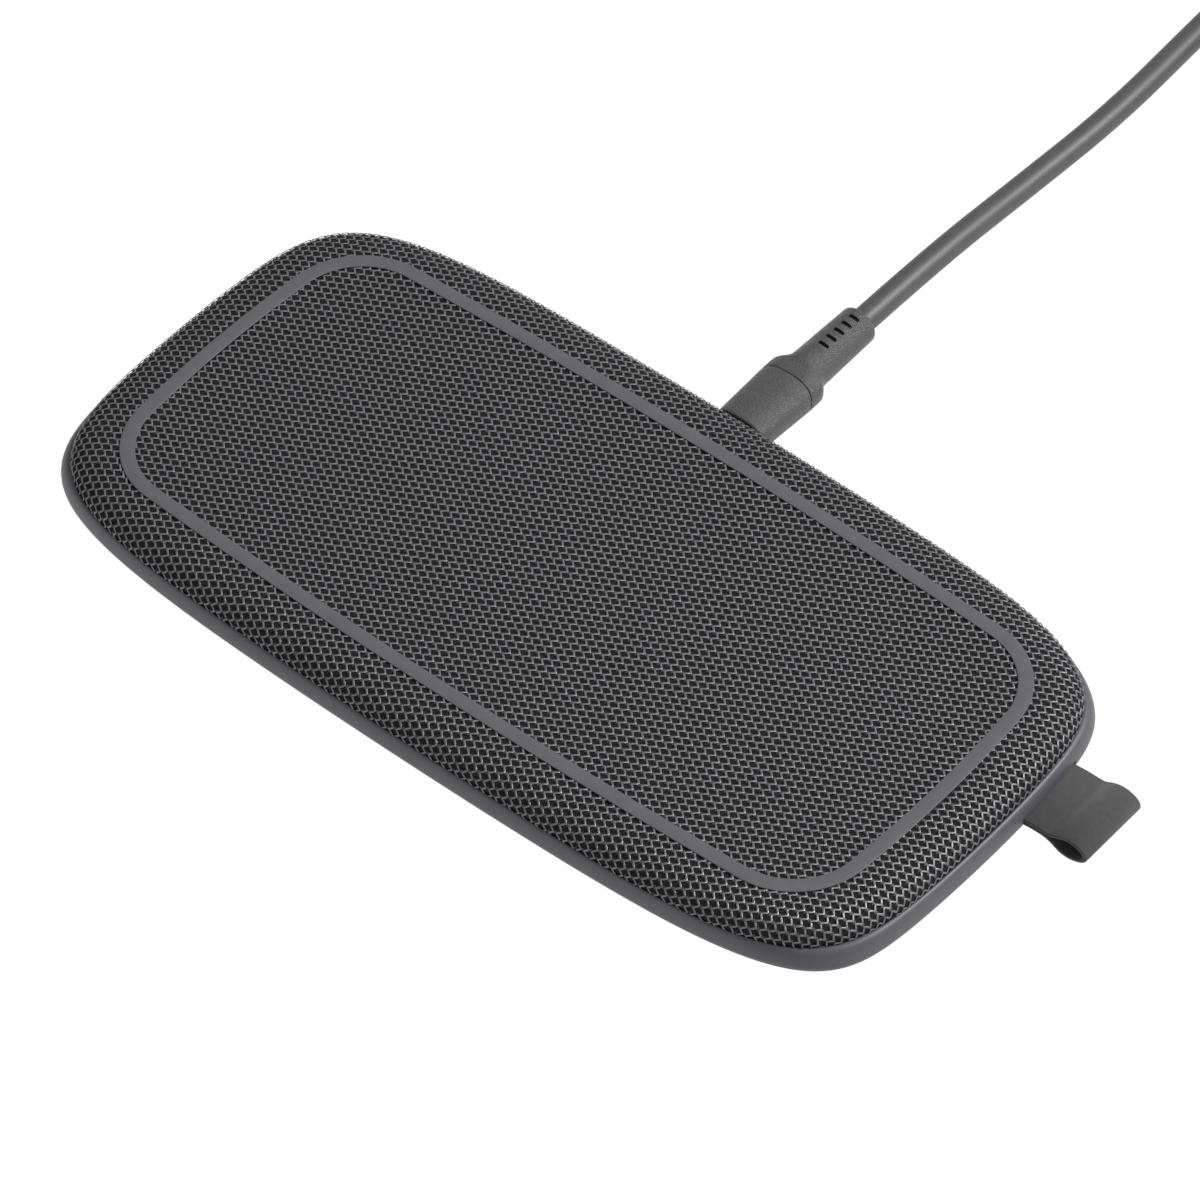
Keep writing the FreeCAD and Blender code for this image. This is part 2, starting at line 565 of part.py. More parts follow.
def make_a_housing():
    body = loft([a_section(A_BODY_Y, 11.0, 7.4, 3.5),
                 a_section(A_BODY_Y - 2.0, 14.6, 7.8, 4.0),
                 a_section(A_FRONT_Y + 0.6, *A_HOUSING, A_POWER),
                 a_section(A_FRONT_Y, A_HOUSING[0] - 1, A_HOUSING[1] - 1, A_POWER)])
    return body.cut(slab(TAIL_X, TAIL_Z, *A_SHELL, A_SHELL_R, A_FRONT_Y - 1, A_FRONT_Y + A_SEAT))


def make_a_shell():
    """The flat metal shell, with the two square windows that a socket's springs drop into."""
    y0, y1 = A_FRONT_Y - A_SHELL_REACH, A_FRONT_Y + A_SEAT
    width, height = A_SHELL[0] - 2 * A_WALL, A_SHELL[1] - 2 * A_WALL
    shell = slab(TAIL_X, TAIL_Z, *A_SHELL, A_SHELL_R, y0, y1)
    shell = shell.cut(slab(TAIL_X, TAIL_Z, width, height, A_SHELL_R - A_WALL, y0 - 1, y1 + 1))
    for side in (-1, 1):
        x = TAIL_X + side * A_WINDOW_X
        shell = shell.cut(centred_box(x, y0 + A_WINDOW_Y, *A_WINDOW, 0, 20))
    return shell


def make_a_tongue():
    y0, y1 = A_FRONT_Y - A_SHELL_REACH, A_FRONT_Y + A_SEAT
    x0, x1 = TAIL_X - A_TONGUE_W / 2, TAIL_X + A_TONGUE_W / 2
    low, high = TAIL_Z - A_SHELL[1] / 2 + A_WALL, TAIL_Z + A_SHELL[1] / 2 - A_WALL
    tongue = box(x0, x1, y0 + 0.4, y1, low, low + A_TONGUE_T)
    return tongue.fuse(box(x0, x1, A_FRONT_Y, y1, low, high)).removeSplitter()


# ================================================================ loop tag
def make_tag():
    """A strap folded into a loop: two layers pressed together, then a drop-shaped gap."""
    (top_x, top_z), (low_x, low_z) = TAG_OUTER_TOP[0], TAG_OUTER_LOW[-1]
    loop = Part.BSplineCurve()
    loop.interpolate(Points=[V(x, TAG_Y0, z) for x, z in TAG_OUTER_TOP + TAG_OUTER_END + TAG_OUTER_LOW],
                     InitialTangent=V(1, 0, 0), FinalTangent=V(-1, 0, 0))
    root = [V(low_x, TAG_Y0, low_z), V(TAG_ROOT_X, TAG_Y0, low_z), V(TAG_ROOT_X, TAG_Y0, top_z),
            V(top_x, TAG_Y0, top_z)]
    strap = Part.Face(Part.Wire([loop.toShape()] + Part.makePolygon(root).Edges))
    gap = Part.Face(smooth_wire([V(x, TAG_Y0 - 1, z) for x, z in TAG_GAP]))
    width = TAG_Y1 - TAG_Y0
    return strap.extrude(V(0, width, 0)).cut(gap.extrude(V(0, width + 2, 0)))


def make_tag_clamp(tag):
    block = box(*TAG_CLAMP_X, TAG_Y0 - TAG_CLAMP_SIDE, TAG_Y1 + TAG_CLAMP_SIDE, FLOOR_Z, TAG_CLAMP_TOP)
    return block.cut(tag)


def main():
    coil, tag, board = make_lead_coil(), make_tag(), make_pcb()
    parts = {
        "fabric_cover": make_fabric_cover(),
        "anti_slip_band": make_band(),
        "adhesive_film": prism(SHOULDER_W + 0.8, PLATE_TOP_Z, PLATE_TOP_Z + FILM_T),
        "top_shell": make_top_shell(),
        "base_shell": make_base_shell(),
        "anti_slip_mat": make_mat(),
        "case_screws": make_case_screws(),
        "main_board": board,
        "board_screws": make_pcb_screws(),
        "control_chips": make_chips(),
        "power_inductors": make_inductors(),
        "capacitors": make_capacitors(),
        "thermistors": make_thermistors(),
        "usb_socket_shell": make_socket_shell(),
        "usb_socket_tongue": make_socket_tongue(),
        "tag_loop": tag,
        "tag_clamp": make_tag_clamp(tag),
        "plug_shell": make_plug_shell(),
        "plug_insert": make_plug_insert(),
        "plug_housing": make_plug_housing(),
        "strain_relief": make_relief(),
        "lead_tube": make_lead_tube(coil),
        "lead_coil": coil,
        "lead_tie": make_coil_tie(coil),
        "far_plug_boot": make_a_boot(),
        "far_plug_housing": make_a_housing(),
        "far_plug_shell": make_a_shell(),
        "far_plug_tongue": make_a_tongue(),
    }
    for name, side in (("left", -1), ("right", 1)):
        tx_coil = make_tx_coil(side * COIL_CX)
        parts[f"{name}_coil"] = tx_coil
        parts[f"{name}_coil_leads"] = make_coil_leads(side, tx_coil, board)
        parts[f"{name}_ferrite"] = make_plate(side * COIL_CX, FERRITE_SIDE, FERRITE_Z, FERRITE_T, 3.0)
        parts[f"{name}_shield_plate"] = make_plate(side * COIL_CX, SHIELD_SIDE, SHIELD_Z, SHIELD_T, 3.0)
        parts[f"{name}_coil_carrier"] = make_carrier(side * COIL_CX)

    os.makedirs("parts", exist_ok=True)
    for name, shape in parts.items():
        solids = shape.Solids
        if not solids or not all(s.isValid() for s in solids):
            print("PROBLEM:", name, len(solids), "solids, valid:", [s.isValid() for s in solids])
        shape.exportStep(f"parts/{name}.step")
    print(len(parts), "nodes")


main()
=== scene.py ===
import math

import bmesh
import bpy
import numpy as np
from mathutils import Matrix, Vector
from mathutils.kdtree import KDTree


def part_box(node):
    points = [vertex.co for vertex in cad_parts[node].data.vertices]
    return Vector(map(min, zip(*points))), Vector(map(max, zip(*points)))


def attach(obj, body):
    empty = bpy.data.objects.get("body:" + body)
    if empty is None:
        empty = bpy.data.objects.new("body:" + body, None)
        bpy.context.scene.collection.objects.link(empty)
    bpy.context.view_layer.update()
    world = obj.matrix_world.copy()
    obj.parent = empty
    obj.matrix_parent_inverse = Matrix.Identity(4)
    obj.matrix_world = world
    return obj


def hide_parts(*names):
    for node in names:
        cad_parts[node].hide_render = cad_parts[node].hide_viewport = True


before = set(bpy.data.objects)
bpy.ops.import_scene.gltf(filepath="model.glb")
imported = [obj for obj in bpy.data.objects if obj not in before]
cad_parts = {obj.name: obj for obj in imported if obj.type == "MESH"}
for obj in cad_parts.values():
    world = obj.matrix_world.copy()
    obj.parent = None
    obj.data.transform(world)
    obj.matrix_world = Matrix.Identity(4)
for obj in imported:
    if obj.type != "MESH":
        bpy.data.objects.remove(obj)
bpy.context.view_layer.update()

# All lengths below are in millimetres until they reach a mesh, where MM turns them into metres.
MM = 0.001
TAU = 2 * math.pi


# ------------------------------------------------------------------ sizes read from the frame
def node_box(name):
    """The two corners of a CAD node's box."""
    low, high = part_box(name)
    return np.array(low) / MM, np.array(high) / MM


BAND_LOW, BAND_HIGH = node_box("anti_slip_band")
COVER_LOW, COVER_HIGH = node_box("fabric_cover")
BASE_LOW = node_box("base_shell")[0]
MAT_HIGH = node_box("anti_slip_mat")[1]
HOUSING_LOW, HOUSING_HIGH = node_box("plug_housing")
RELIEF_LOW, RELIEF_HIGH = node_box("strain_relief")
TAG_LOW, TAG_HIGH = node_box("tag_loop")
RING_LOW, RING_HIGH = node_box("lead_coil")
TIE_LOW, TIE_HIGH = node_box("lead_tie")
FAR_BOOT_LOW, FAR_BOOT_HIGH = node_box("far_plug_boot")
FAR_BODY_LOW, FAR_BODY_HIGH = node_box("far_plug_housing")

PAD_TOP = BAND_HIGH[2]
FABRIC_TOP = COVER_HIGH[2]
SEAM_Z = COVER_LOW[2]
BASE_Z = BASE_LOW[2]
MAT_T = MAT_HIGH[2]

# ------------------------------------------------------------------ outlines, as in the CAD
# Superellipses whose sides are bowed outwards: half sizes, and the powers of x and y.
SEAM_OUTLINE = dict(half_x=88.4, half_y=45.2, p=6.9, q=5.8)       # where the fabric meets the rim
RIM_OUTLINE = dict(half_x=89.75, half_y=46.0, p=5.55, q=7.55)     # the rim at its widest
BULGE_X, BULGE_Y = 0.040, 0.059             # how much each side is bowed, as a share of the half size
SHOULDER_W, SHOULDER_POWER = 8.3, 2.4       # the fabric's shoulder: width, and power of its section
RIM_WIDE_Z = 3.0                            # height of the rim's widest line
BASE_ROUND = 4.2                            # rounding of the rim's lower edge
WALL_INSET = 2.3                            # inside of the base's wall, from the seam
FLOOR_Z = 2.4                               # top of the base's floor
MAT_INSET = 7.0                             # edge of the mat's recess, from the seam
BAND_W = 2.7                                # width of the rubber band
BAND_LONG_R, BAND_SHORT_R, BAND_CORNER_R = 1298.0, 259.0, 15.6
BISECTIONS = 40                             # halvings when a point on an outline is searched for

USB_X = (HOUSING_LOW[0] + HOUSING_HIGH[0]) / 2
USB_Z = (HOUSING_LOW[2] + HOUSING_HIGH[2]) / 2
CABLE_D = 4.8


# ------------------------------------------------------------------ mesh helpers
def mesh_object(name, verts, faces, smooth=True, body="pad"):
    """A mesh piece from points in millimetres, riding on a body."""
    mesh = bpy.data.meshes.new(name)
    mesh.from_pydata((np.asarray(verts, float) * MM).tolist(), [], [tuple(map(int, f)) for f in faces])
    mesh.validate()
    mesh.update()
    bm = bmesh.new()
    bm.from_mesh(mesh)
    bmesh.ops.recalc_face_normals(bm, faces=bm.faces)
    bm.to_mesh(mesh)
    bm.free()
    if smooth:
        mesh.shade_smooth()
    piece = bpy.data.objects.new(name, mesh)
    bpy.context.scene.collection.objects.link(piece)
    if body:
        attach(piece, body)
    return piece


def sharpen(piece, degrees=40):
    """Edges steeper than this stay crisp; the rest is smooth."""
    mesh = piece.data
    bm = bmesh.new()
    bm.from_mesh(mesh)
    for edge in bm.edges:
        if len(edge.link_faces) == 2 and edge.calc_face_angle(0) > math.radians(degrees):
            edge.smooth = False
    bm.to_mesh(mesh)
    bm.free()


def apply_modifiers(piece):
    """Makes what a piece's modifiers show its own mesh."""
    bpy.context.view_layer.update()
    graph = bpy.context.evaluated_depsgraph_get()
    done = bpy.data.meshes.new_from_object(piece.evaluated_get(graph))
    piece.modifiers.clear()
    piece.data = done


def at_height(line, z):
    """Flat points raised to one height."""
    return np.column_stack([line, np.full(len(line), z)])


def unit(ways):
    """Rows scaled to length 1."""
    return ways / np.hypot(*ways.T)[:, None]


def rings(rows, close_rows=False, cap_start=False, cap_end=False):
    """Points and faces of a skin over closed rings that all have the same number of points."""
    count = len(rows[0])
    verts = np.concatenate(rows)
    turn = np.arange(count)
    after = (turn + 1) % count
    pairs = [(i, i + 1) for i in range(len(rows) - 1)]
    if close_rows:
        pairs.append((len(rows) - 1, 0))
    faces = []
    for a, b in pairs:
        faces += np.stack([a * count + turn, a * count + after,
                           b * count + after, b * count + turn], 1).tolist()
    if cap_start:
        faces.append(list(range(count))[::-1])
    if cap_end:
        faces.append([(len(rows) - 1) * count + i for i in range(count)])
    return verts, faces


def cut_with(piece, cutters):
    """Cuts boxes and other closed pieces out of a piece, and removes them."""
    for cutter in cutters:
        hole = piece.modifiers.new("hole", "BOOLEAN")
        hole.operation, hole.solver, hole.object = "DIFFERENCE", "EXACT", cutter
    apply_modifiers(piece)
    for cutter in cutters:
        bpy.data.objects.remove(cutter)


def rounded_bar(axis, centre, half, corner, length0, length1, steps=6):
    """A closed bar along X, Y or Z whose section is a rectangle with round corners, as a cutter."""
    loop = rounded_loop(half[0], half[1], corner, steps)
    rows = []
    for along in (length0, length1):
        ring = np.zeros((len(loop), 3))
        others = [i for i in range(3) if i != axis]
        ring[:, axis] = along
        ring[:, others[0]] = centre[0] + loop[:, 0]
        ring[:, others[1]] = centre[1] + loop[:, 1]
        rows.append(ring)
    verts, faces = rings(rows, cap_start=True, cap_end=True)
    return mesh_object("cutter", verts, faces, smooth=False, body=None)


def rounded_loop(half_w, half_h, corner, steps):
    """A rectangle with round corners, from its half sizes."""
    spots = []
    for k, (sx, sy) in enumerate(((1, 1), (-1, 1), (-1, -1), (1, -1))):
        for a in np.linspace(k * TAU / 4, (k + 1) * TAU / 4, steps + 1):
            spots.append((sx * (half_w - corner) + corner * math.cos(a),
                          sy * (half_h - corner) + corner * math.sin(a)))
    return np.array(spots)


# ------------------------------------------------------------------ outline curves
def level(outline, x, y):
    """Below 1 inside an outline, 1 on it and above 1 outside."""
    a = outline["half_x"] * (1 - BULGE_X * (y / outline["half_y"]) ** 2)
    b = outline["half_y"] * (1 - BULGE_Y * (x / outline["half_x"]) ** 2)
    return (np.abs(x) / a) ** outline["p"] + (np.abs(y) / b) ** outline["q"]


def resample(points, count):
    """Evenly spaced points round a closed line."""
    closed = np.vstack([points, points[:1]])
    steps = np.hypot(*np.diff(closed, axis=0).T)
    along = np.concatenate([[0], np.cumsum(steps)])
    want = np.linspace(0, along[-1], count, endpoint=False)
    return np.stack([np.interp(want, along, closed[:, i]) for i in (0, 1)], 1)


def normals_of(points):
    """Outward normals of a closed line that runs anticlockwise."""
    ahead = unit(np.roll(points, -1, 0) - np.roll(points, 1, 0))
    return np.stack([ahead[:, 1], -ahead[:, 0]], 1)


def seam_line(count):
    """Evenly spaced points of the seam, and their normals."""
    turn = np.linspace(0, TAU, 16 * count, endpoint=False) + 1e-4
    c, s = np.cos(turn), np.sin(turn)
    dx = SEAM_OUTLINE["half_x"] * np.sign(c) * np.abs(c) ** (2 / SEAM_OUTLINE["p"])
    dy = SEAM_OUTLINE["half_y"] * np.sign(s) * np.abs(s) ** (2 / SEAM_OUTLINE["q"])
    low, high = np.full(len(turn), 0.8), np.full(len(turn), 1.2)
    for _ in range(BISECTIONS):
        mid = (low + high) / 2
        inside = level(SEAM_OUTLINE, mid * dx, mid * dy) < 1
        low, high = np.where(inside, mid, low), np.where(inside, high, mid)
    points = resample(np.stack([low * dx, low * dy], 1), count)
    return points, normals_of(points)


def rim_gap(points, normals):
    """How far the rim's widest line lies outside the seam, along each normal."""
    low, high = np.zeros(len(points)), np.full(len(points), 4.0)
    for _ in range(BISECTIONS):
        mid = (low + high) / 2
        spot = points + normals * mid[:, None]
        inside = level(RIM_OUTLINE, spot[:, 0], spot[:, 1]) < 1
        low, high = np.where(inside, mid, low), np.where(inside, high, mid)
    return low


def band_line(inset, per_side=60, per_corner=40):
    """The band's outline, moved inwards: four wide arcs joined by four corner arcs that meet them smoothly."""
    hx, hy = BAND_HIGH[0] - inset, BAND_HIGH[1] - inset
    long_r, short_r, corner_r = BAND_LONG_R - inset, BAND_SHORT_R - inset, BAND_CORNER_R - inset
    long_c, short_c = np.array([0, hy - long_r]), np.array([hx - short_r, 0])
    d1, d2 = long_r - corner_r, short_r - corner_r
    way = short_c - long_c
    span = np.hypot(*way)
    along = (d1 * d1 - d2 * d2 + span * span) / (2 * span)
    aside = math.sqrt(d1 * d1 - along * along)
    way = way / span
    corner = long_c + along * way + aside * np.array([way[1], -way[0]])
    a_long = math.atan2(*(corner - long_c)[::-1])
    a_short = math.atan2(*(corner - short_c)[::-1])

    def sweep(centre, radius, a0, a1, count):
        """Points of an arc, without its last one."""
        a = np.linspace(a0, a1, count, endpoint=False)
        return np.stack([centre[0] + radius * np.cos(a), centre[1] + radius * np.sin(a)], 1)

    quarter = np.vstack([sweep(short_c, short_r, 0, a_short, per_side // 2),
                         sweep(corner, corner_r, a_short, a_long, per_corner),
                         sweep(long_c, long_r, a_long, TAU / 4, per_side // 2)])
    top = np.vstack([quarter, [[0, hy]], (quarter * [-1, 1])[:0:-1]])
    return np.vstack([top, [[-hx, 0]], (top * [1, -1])[:0:-1]])


# ------------------------------------------------------------------ materials
def material(name, **values):
    """A new material, its node tree and its shader, with the given shader inputs (_ stands for a space)."""
    made = bpy.data.materials.new(name)
    made.use_nodes = True
    tree = made.node_tree
    shader = tree.nodes["Principled BSDF"]
    for key, value in values.items():
        shader.inputs[key.replace("_", " ")].default_value = value
    return made, tree, shader


def node(tree, kind, **values):
    """A new node; each value goes to the input of that name, or else to the property."""
    made = tree.nodes.new(kind)
    for key, value in values.items():
        if key in made.inputs:
            made.inputs[key].default_value = value
        else:
            setattr(made, key, value)
    return made


def coordinates(tree):
    """Object coordinates in millimetres."""
    source = node(tree, "ShaderNodeTexCoord")
    place = node(tree, "ShaderNodeMapping", Scale=[1 / MM] * 3)
    tree.links.new(source.outputs["Object"], place.inputs["Vector"])
    return place.outputs["Vector"]


def noise(tree, where, scale, detail=3.0, rough=0.6):
    """Soft random patches; a larger scale makes them smaller."""
    made = node(tree, "ShaderNodeTexNoise", Scale=scale, Detail=detail, Roughness=rough)
    tree.links.new(where, made.inputs["Vector"])
    return made.outputs["Fac"]


def tone(tree, shader, source, low, high, start=0.3):
    """Base colour that runs from low to high as the source runs from start to 1 - start."""
    made = node(tree, "ShaderNodeValToRGB")
    ends = made.color_ramp.elements
    ends[0].position, ends[0].color = start, (*low, 1)
    ends[1].position, ends[1].color = 1 - start, (*high, 1)
    tree.links.new(source, made.inputs["Fac"])
    tree.links.new(made.outputs["Color"], shader.inputs["Base Color"])


def roughness(tree, shader, source, low, high):
    """Roughness that runs from low to high with the source's middle range."""
    made = node(tree, "ShaderNodeMapRange", **{"From Min": 0.3, "From Max": 0.7, "To Min": low, "To Max": high})
    tree.links.new(source, made.inputs["Value"])
    tree.links.new(made.outputs["Result"], shader.inputs["Roughness"])


def wave(tree, where, scale, direction, distortion=0.0, detail=2.0):
    """Parallel bands, as for yarn, ribs and warp."""
    made = node(tree, "ShaderNodeTexWave", Scale=scale, Distortion=distortion, Detail=detail)
    made.bands_direction = direction
    tree.links.new(where, made.inputs["Vector"])
    return made


def bump(tree, shader, height, depth_mm, strength=1.0, after=None):
    """Relief from a height; after is the normal of a relief that it is added to."""
    made = node(tree, "ShaderNodeBump", Strength=strength, Distance=depth_mm * MM)
    tree.links.new(height, made.inputs["Height"])
    if after:
        tree.links.new(after, made.inputs["Normal"])
    tree.links.new(made.outputs["Normal"], shader.inputs["Normal"])
    return made.outputs["Normal"]


def grey(value, blue=0.0):
    """A nearly neutral grey, with a share of extra blue."""
    return (value * 1.01, value, value * (1 + blue))


def moulded(name, value, blue=0.04, rough=(0.42, 0.55), grain=6.0, depth=0.03, specular=0.5):
    """Moulded plastic or rubber: faint cloudy tone, fine grain in the relief and the roughness."""
    made, tree, shader = material(name, Specular_IOR_Level=specular)
    where = coordinates(tree)
    cloud = noise(tree, where, 0.35, 2.0)
    tone(tree, shader, cloud, grey(value * 0.94, blue), grey(value * 1.06, blue))
    fine = noise(tree, where, grain, 2.0, 0.7)
    roughness(tree, shader, fine, *rough)
    bump(tree, shader, fine, depth)
    return made


def tinted(name, color, rough=(0.35, 0.5), metal=0.0, grain=5.0, depth=0.02, vary=0.1):
    """Metal, or a coloured solid, whose tone varies by the share vary."""
    made, tree, shader = material(name, Metallic=metal)
    where = coordinates(tree)
    cloud = noise(tree, where, 0.8, 3.0)
    tone(tree, shader, cloud, *[tuple(c * k for c in color) for k in (1 - vary, 1 + vary)])
    fine = noise(tree, where, grain, 3.0)
    roughness(tree, shader, fine, *rough)
    bump(tree, shader, fine, depth)
    return made


def yarn_material():
    """Smooth grey yarn with fine twisted fibres."""
    made, tree, shader = material("woven_yarn", Roughness=0.28, Specular_IOR_Level=1.0)
    where = coordinates(tree)
    fibre = wave(tree, where, 4.2, "DIAGONAL", 2.5)
    fibre.inputs["Detail Scale"].default_value = 2.0
    tone(tree, shader, noise(tree, where, 1.3, 3.0), grey(0.082, 0.07), grey(0.112, 0.07), 0.25)
    bump(tree, shader, fibre.outputs["Fac"], 0.018, 0.6)
    return made


def float_material():
    """Duller, darker yarn that crosses under the light one."""
    made, tree, shader = material("woven_float", Roughness=0.6, Specular_IOR_Level=0.4)
    patch = noise(tree, coordinates(tree), 1.6, 3.0)
    tone(tree, shader, patch, grey(0.045, 0.07), grey(0.068, 0.07), 0.25)
    bump(tree, shader, patch, 0.05, 0.6)
    return made


def ground_material():
    """Dark, dull base cloth under the yarn, with a fine rib."""
    made, tree, shader = material("woven_ground", Roughness=0.9, Specular_IOR_Level=0.2)
    where = coordinates(tree)
    rib = wave(tree, where, 3.0, "Y", 1.5)
    tone(tree, shader, noise(tree, where, 1.8, 3.0), grey(0.010), grey(0.020))
    bump(tree, shader, rib.outputs["Fac"], 0.12, 0.7)
    return made


def strap_material():
    """Brushed grey strap: fine warp and weft lines, soft nap."""
    made, tree, shader = material("tag_strap", Roughness=0.85, Specular_IOR_Level=0.3, Sheen_Weight=0.2)
    where = coordinates(tree)
    warp = wave(tree, where, 1.7, "Y", 0.8)
    weft = wave(tree, where, 2.2, "X", 1.2, 1.0)
    tone(tree, shader, noise(tree, where, 0.9, 4.0, 0.65), grey(0.040, 0.01), grey(0.058, 0.01), 0.25)
    first = bump(tree, shader, warp.outputs["Fac"], 0.06, 0.5)
    bump(tree, shader, weft.outputs["Fac"], 0.05, 0.5, first)
    return made


def paint(piece, made):
    """Gives a piece its material, and its slot if it has one."""
    piece.data.materials.clear()
    piece.data.materials.append(made)
    return piece


# ------------------------------------------------------------------ camera and light
CAMERA_AZIMUTH, CAMERA_ELEVATION = math.radians(39.93), math.radians(48.76)
CAMERA_DISTANCE = 1185.0
CAMERA_TARGET = (9.46, -3.51)     # on the pad's top
LENS = 213.0
FLOOR_HALF, FLOOR_LOW_Z = 3000, -0.05


def way_from(azimuth, elevation):
    """The direction from the object to something at these angles, in radians."""
    return Vector((math.sin(azimuth) * math.cos(elevation), -math.cos(azimuth) * math.cos(elevation),
                   math.sin(elevation)))


def make_camera():
    """A long lens that looks down at the pad from its front right."""
    data = bpy.data.cameras.new("camera")
    data.lens, data.sensor_width = LENS, 36.0
    data.clip_start, data.clip_end = 0.05, 20
    camera = bpy.data.objects.new("camera", data)
    back = way_from(CAMERA_AZIMUTH, CAMERA_ELEVATION)
    camera.location = Vector((CAMERA_TARGET[0], CAMERA_TARGET[1], PAD_TOP)) * MM + back * CAMERA_DISTANCE * MM
    camera.rotation_euler = (-back).to_track_quat("-Z", "Y").to_euler()
    bpy.context.scene.collection.objects.link(camera)
    bpy.context.scene.camera = camera


def area_light(name, azimuth, elevation, distance, size, power):
    """A lamp that faces the object, from angles in degrees and a distance in metres."""
    data = bpy.data.lights.new(name, "AREA")
    data.shape, data.size, data.size_y, data.energy = "RECTANGLE", size[0], size[1], power
    lamp = bpy.data.objects.new(name, data)
    back = way_from(math.radians(azimuth), math.radians(elevation))
    lamp.location = back * distance
    lamp.rotation_euler = (-back).to_track_quat("-Z", "Y").to_euler()
    bpy.context.scene.collection.objects.link(lamp)


def make_stage():
    """Even white light from all round, one large lamp from the back right, and a white floor without shadows."""
    world = bpy.data.worlds.new("studio")
    world.use_nodes = True
    sky = world.node_tree.nodes["Background"]
    sky.inputs["Color"].default_value = (1, 1, 1, 1)
    sky.inputs["Strength"].default_value = 0.46
    bpy.context.scene.world = world
    bpy.context.scene.view_settings.view_transform = "Standard"
    corners = [(x * FLOOR_HALF, y * FLOOR_HALF, FLOOR_LOW_Z) for x, y in ((-1, -1), (1, -1), (1, 1), (-1, 1))]
    floor = mesh_object("floor", corners, [(0, 1, 2, 3)], smooth=False, body=None)
    paint(floor, material("pale_floor", Base_Color=(0.05, 0.05, 0.05, 1), Roughness=0.9, Specular_IOR_Level=0.0,
                          Emission_Color=(1, 1, 1, 1), Emission_Strength=1.0)[0])
    area_light("key", 135, 46, 1.6, (0.6, 0.6), 32)


# ------------------------------------------------------------------ the lead
COIL_MEAN_R = (RING_HIGH[0] - RING_LOW[0]) / 2 - 2 * CABLE_D
COIL_CENTRE = (RING_LOW + RING_HIGH) / 2
COIL_TURNS = 6.5
COIL_STEP_UP = 0.6                # turns over which it climbs to the upper layer
COIL_LOW_Z = RING_LOW[2] + CABLE_D / 2
POINTS_PER_TURN = 16
TAIL_X = (FAR_BOOT_LOW[0] + FAR_BOOT_HIGH[0]) / 2
TAIL_Y = FAR_BOOT_HIGH[1]
TAIL_Z = (FAR_BOOT_LOW[2] + FAR_BOOT_HIGH[2]) / 2


def coil_points():
    """Turns that wind inwards along the floor, step up at the middle and wind out again on top."""
    points = []
    steps = int(COIL_TURNS * POINTS_PER_TURN)
    half = COIL_TURNS / 2
    for i in range(1, steps):
        turns = i / POINTS_PER_TURN
        inward = min(turns, COIL_TURNS - turns)
        radius = COIL_MEAN_R + 1.5 * CABLE_D - CABLE_D * min(inward, half - 0.25)
        climb = min(max((turns - half + COIL_STEP_UP / 2) / COIL_STEP_UP, 0), 1)
        climb = climb * climb * (3 - 2 * climb)
        angle = math.pi - TAU * turns
        points.append((COIL_CENTRE[0] + radius * math.cos(angle),
                       COIL_CENTRE[1] + radius * math.sin(angle), COIL_LOW_Z + CABLE_D * climb))
    return points


def make_lead():
    """One smooth curve: out of the strain relief, down to the table, round the coil and on to the far plug."""
    lead_in = [(USB_X, RELIEF_HIGH[1], USB_Z), (USB_X, 100.0, USB_Z), (USB_X + 0.3, 124.0, 2.6),
               (USB_X + 1.6, 150.0, 2.42), (USB_X + 0.4, 176.0, 2.42), (USB_X, 190.0, 2.7)]
    cx, cy = COIL_CENTRE[:2]
    tail = [(cx + 33.4, cy - 1.0, 7.7), (cx + 34.4, cy - 12.0, 7.4), (cx + 36.4, cy - 24.0, 5.4),
            (TAIL_X, cy - 35.0, TAIL_Z), (TAIL_X, TAIL_Y, TAIL_Z)]
    points = lead_in + coil_points() + tail
    curve = bpy.data.curves.new("lead", "CURVE")
    curve.dimensions = "3D"
    curve.bevel_depth = 1.0          # times each point's radius
    curve.bevel_resolution = 6
    curve.resolution_u = 6
    curve.use_fill_caps = True
    spline = curve.splines.new("NURBS")
    spline.points.add(len(points) - 1)
    for place, point in zip(spline.points, points):
        place.co = (*[c * MM for c in point], 1)
        place.radius = CABLE_D / 2 * MM
    spline.order_u = 3
    spline.use_endpoint_u = True
    lead = bpy.data.objects.new("lead", curve)
    bpy.context.scene.collection.objects.link(lead)
    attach(lead, "cable")
    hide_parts("lead_tube", "lead_coil")
    lead.data.materials.append(moulded("cable_jacket", 0.060, 0.0, (0.44, 0.5), 3.0, 0.008, 0.45))
    return lead


# ------------------------------------------------------------------ fabric top
SEAM_COUNT = 1440
SEAM, SEAM_N = seam_line(SEAM_COUNT)
YARN_X, YARN_Y = 2.864, 1.589     # pattern repeat along X and Y
YARN_PHASE = (1.40, 0.33)         # middle of one open cell
YARN_SWING = 0.40                 # how far a yarn swings to each side
YARN_SHARP = 0.985                # 1 is a zigzag with sharp points, less rounds them
YARN_HALF_W = 0.18
YARN_LIFT, YARN_FOOT = 0.1, -0.02   # a yarn's crest and edges, above the cover's surface
YARN_STEPS = 6                    # points in one repeat
YARN_MARGIN = 2.0                 # how far the yarns start outside the seam, before they are cut
FLOAT_HALF = (0.46, 0.38)         # half sizes of a cross float
FLOAT_DEEP, FLOAT_DROP = 0.06, 0.14   # its middle under the surface, and its edges under its middle
GROUND_DEEP = 0.24                # the ground cloth under the surface
GROUND_TUCK = 0.5                 # its edge, turned down inside the rim
SEAM_GAP = 0.02                   # between the fabric's foot and the seam


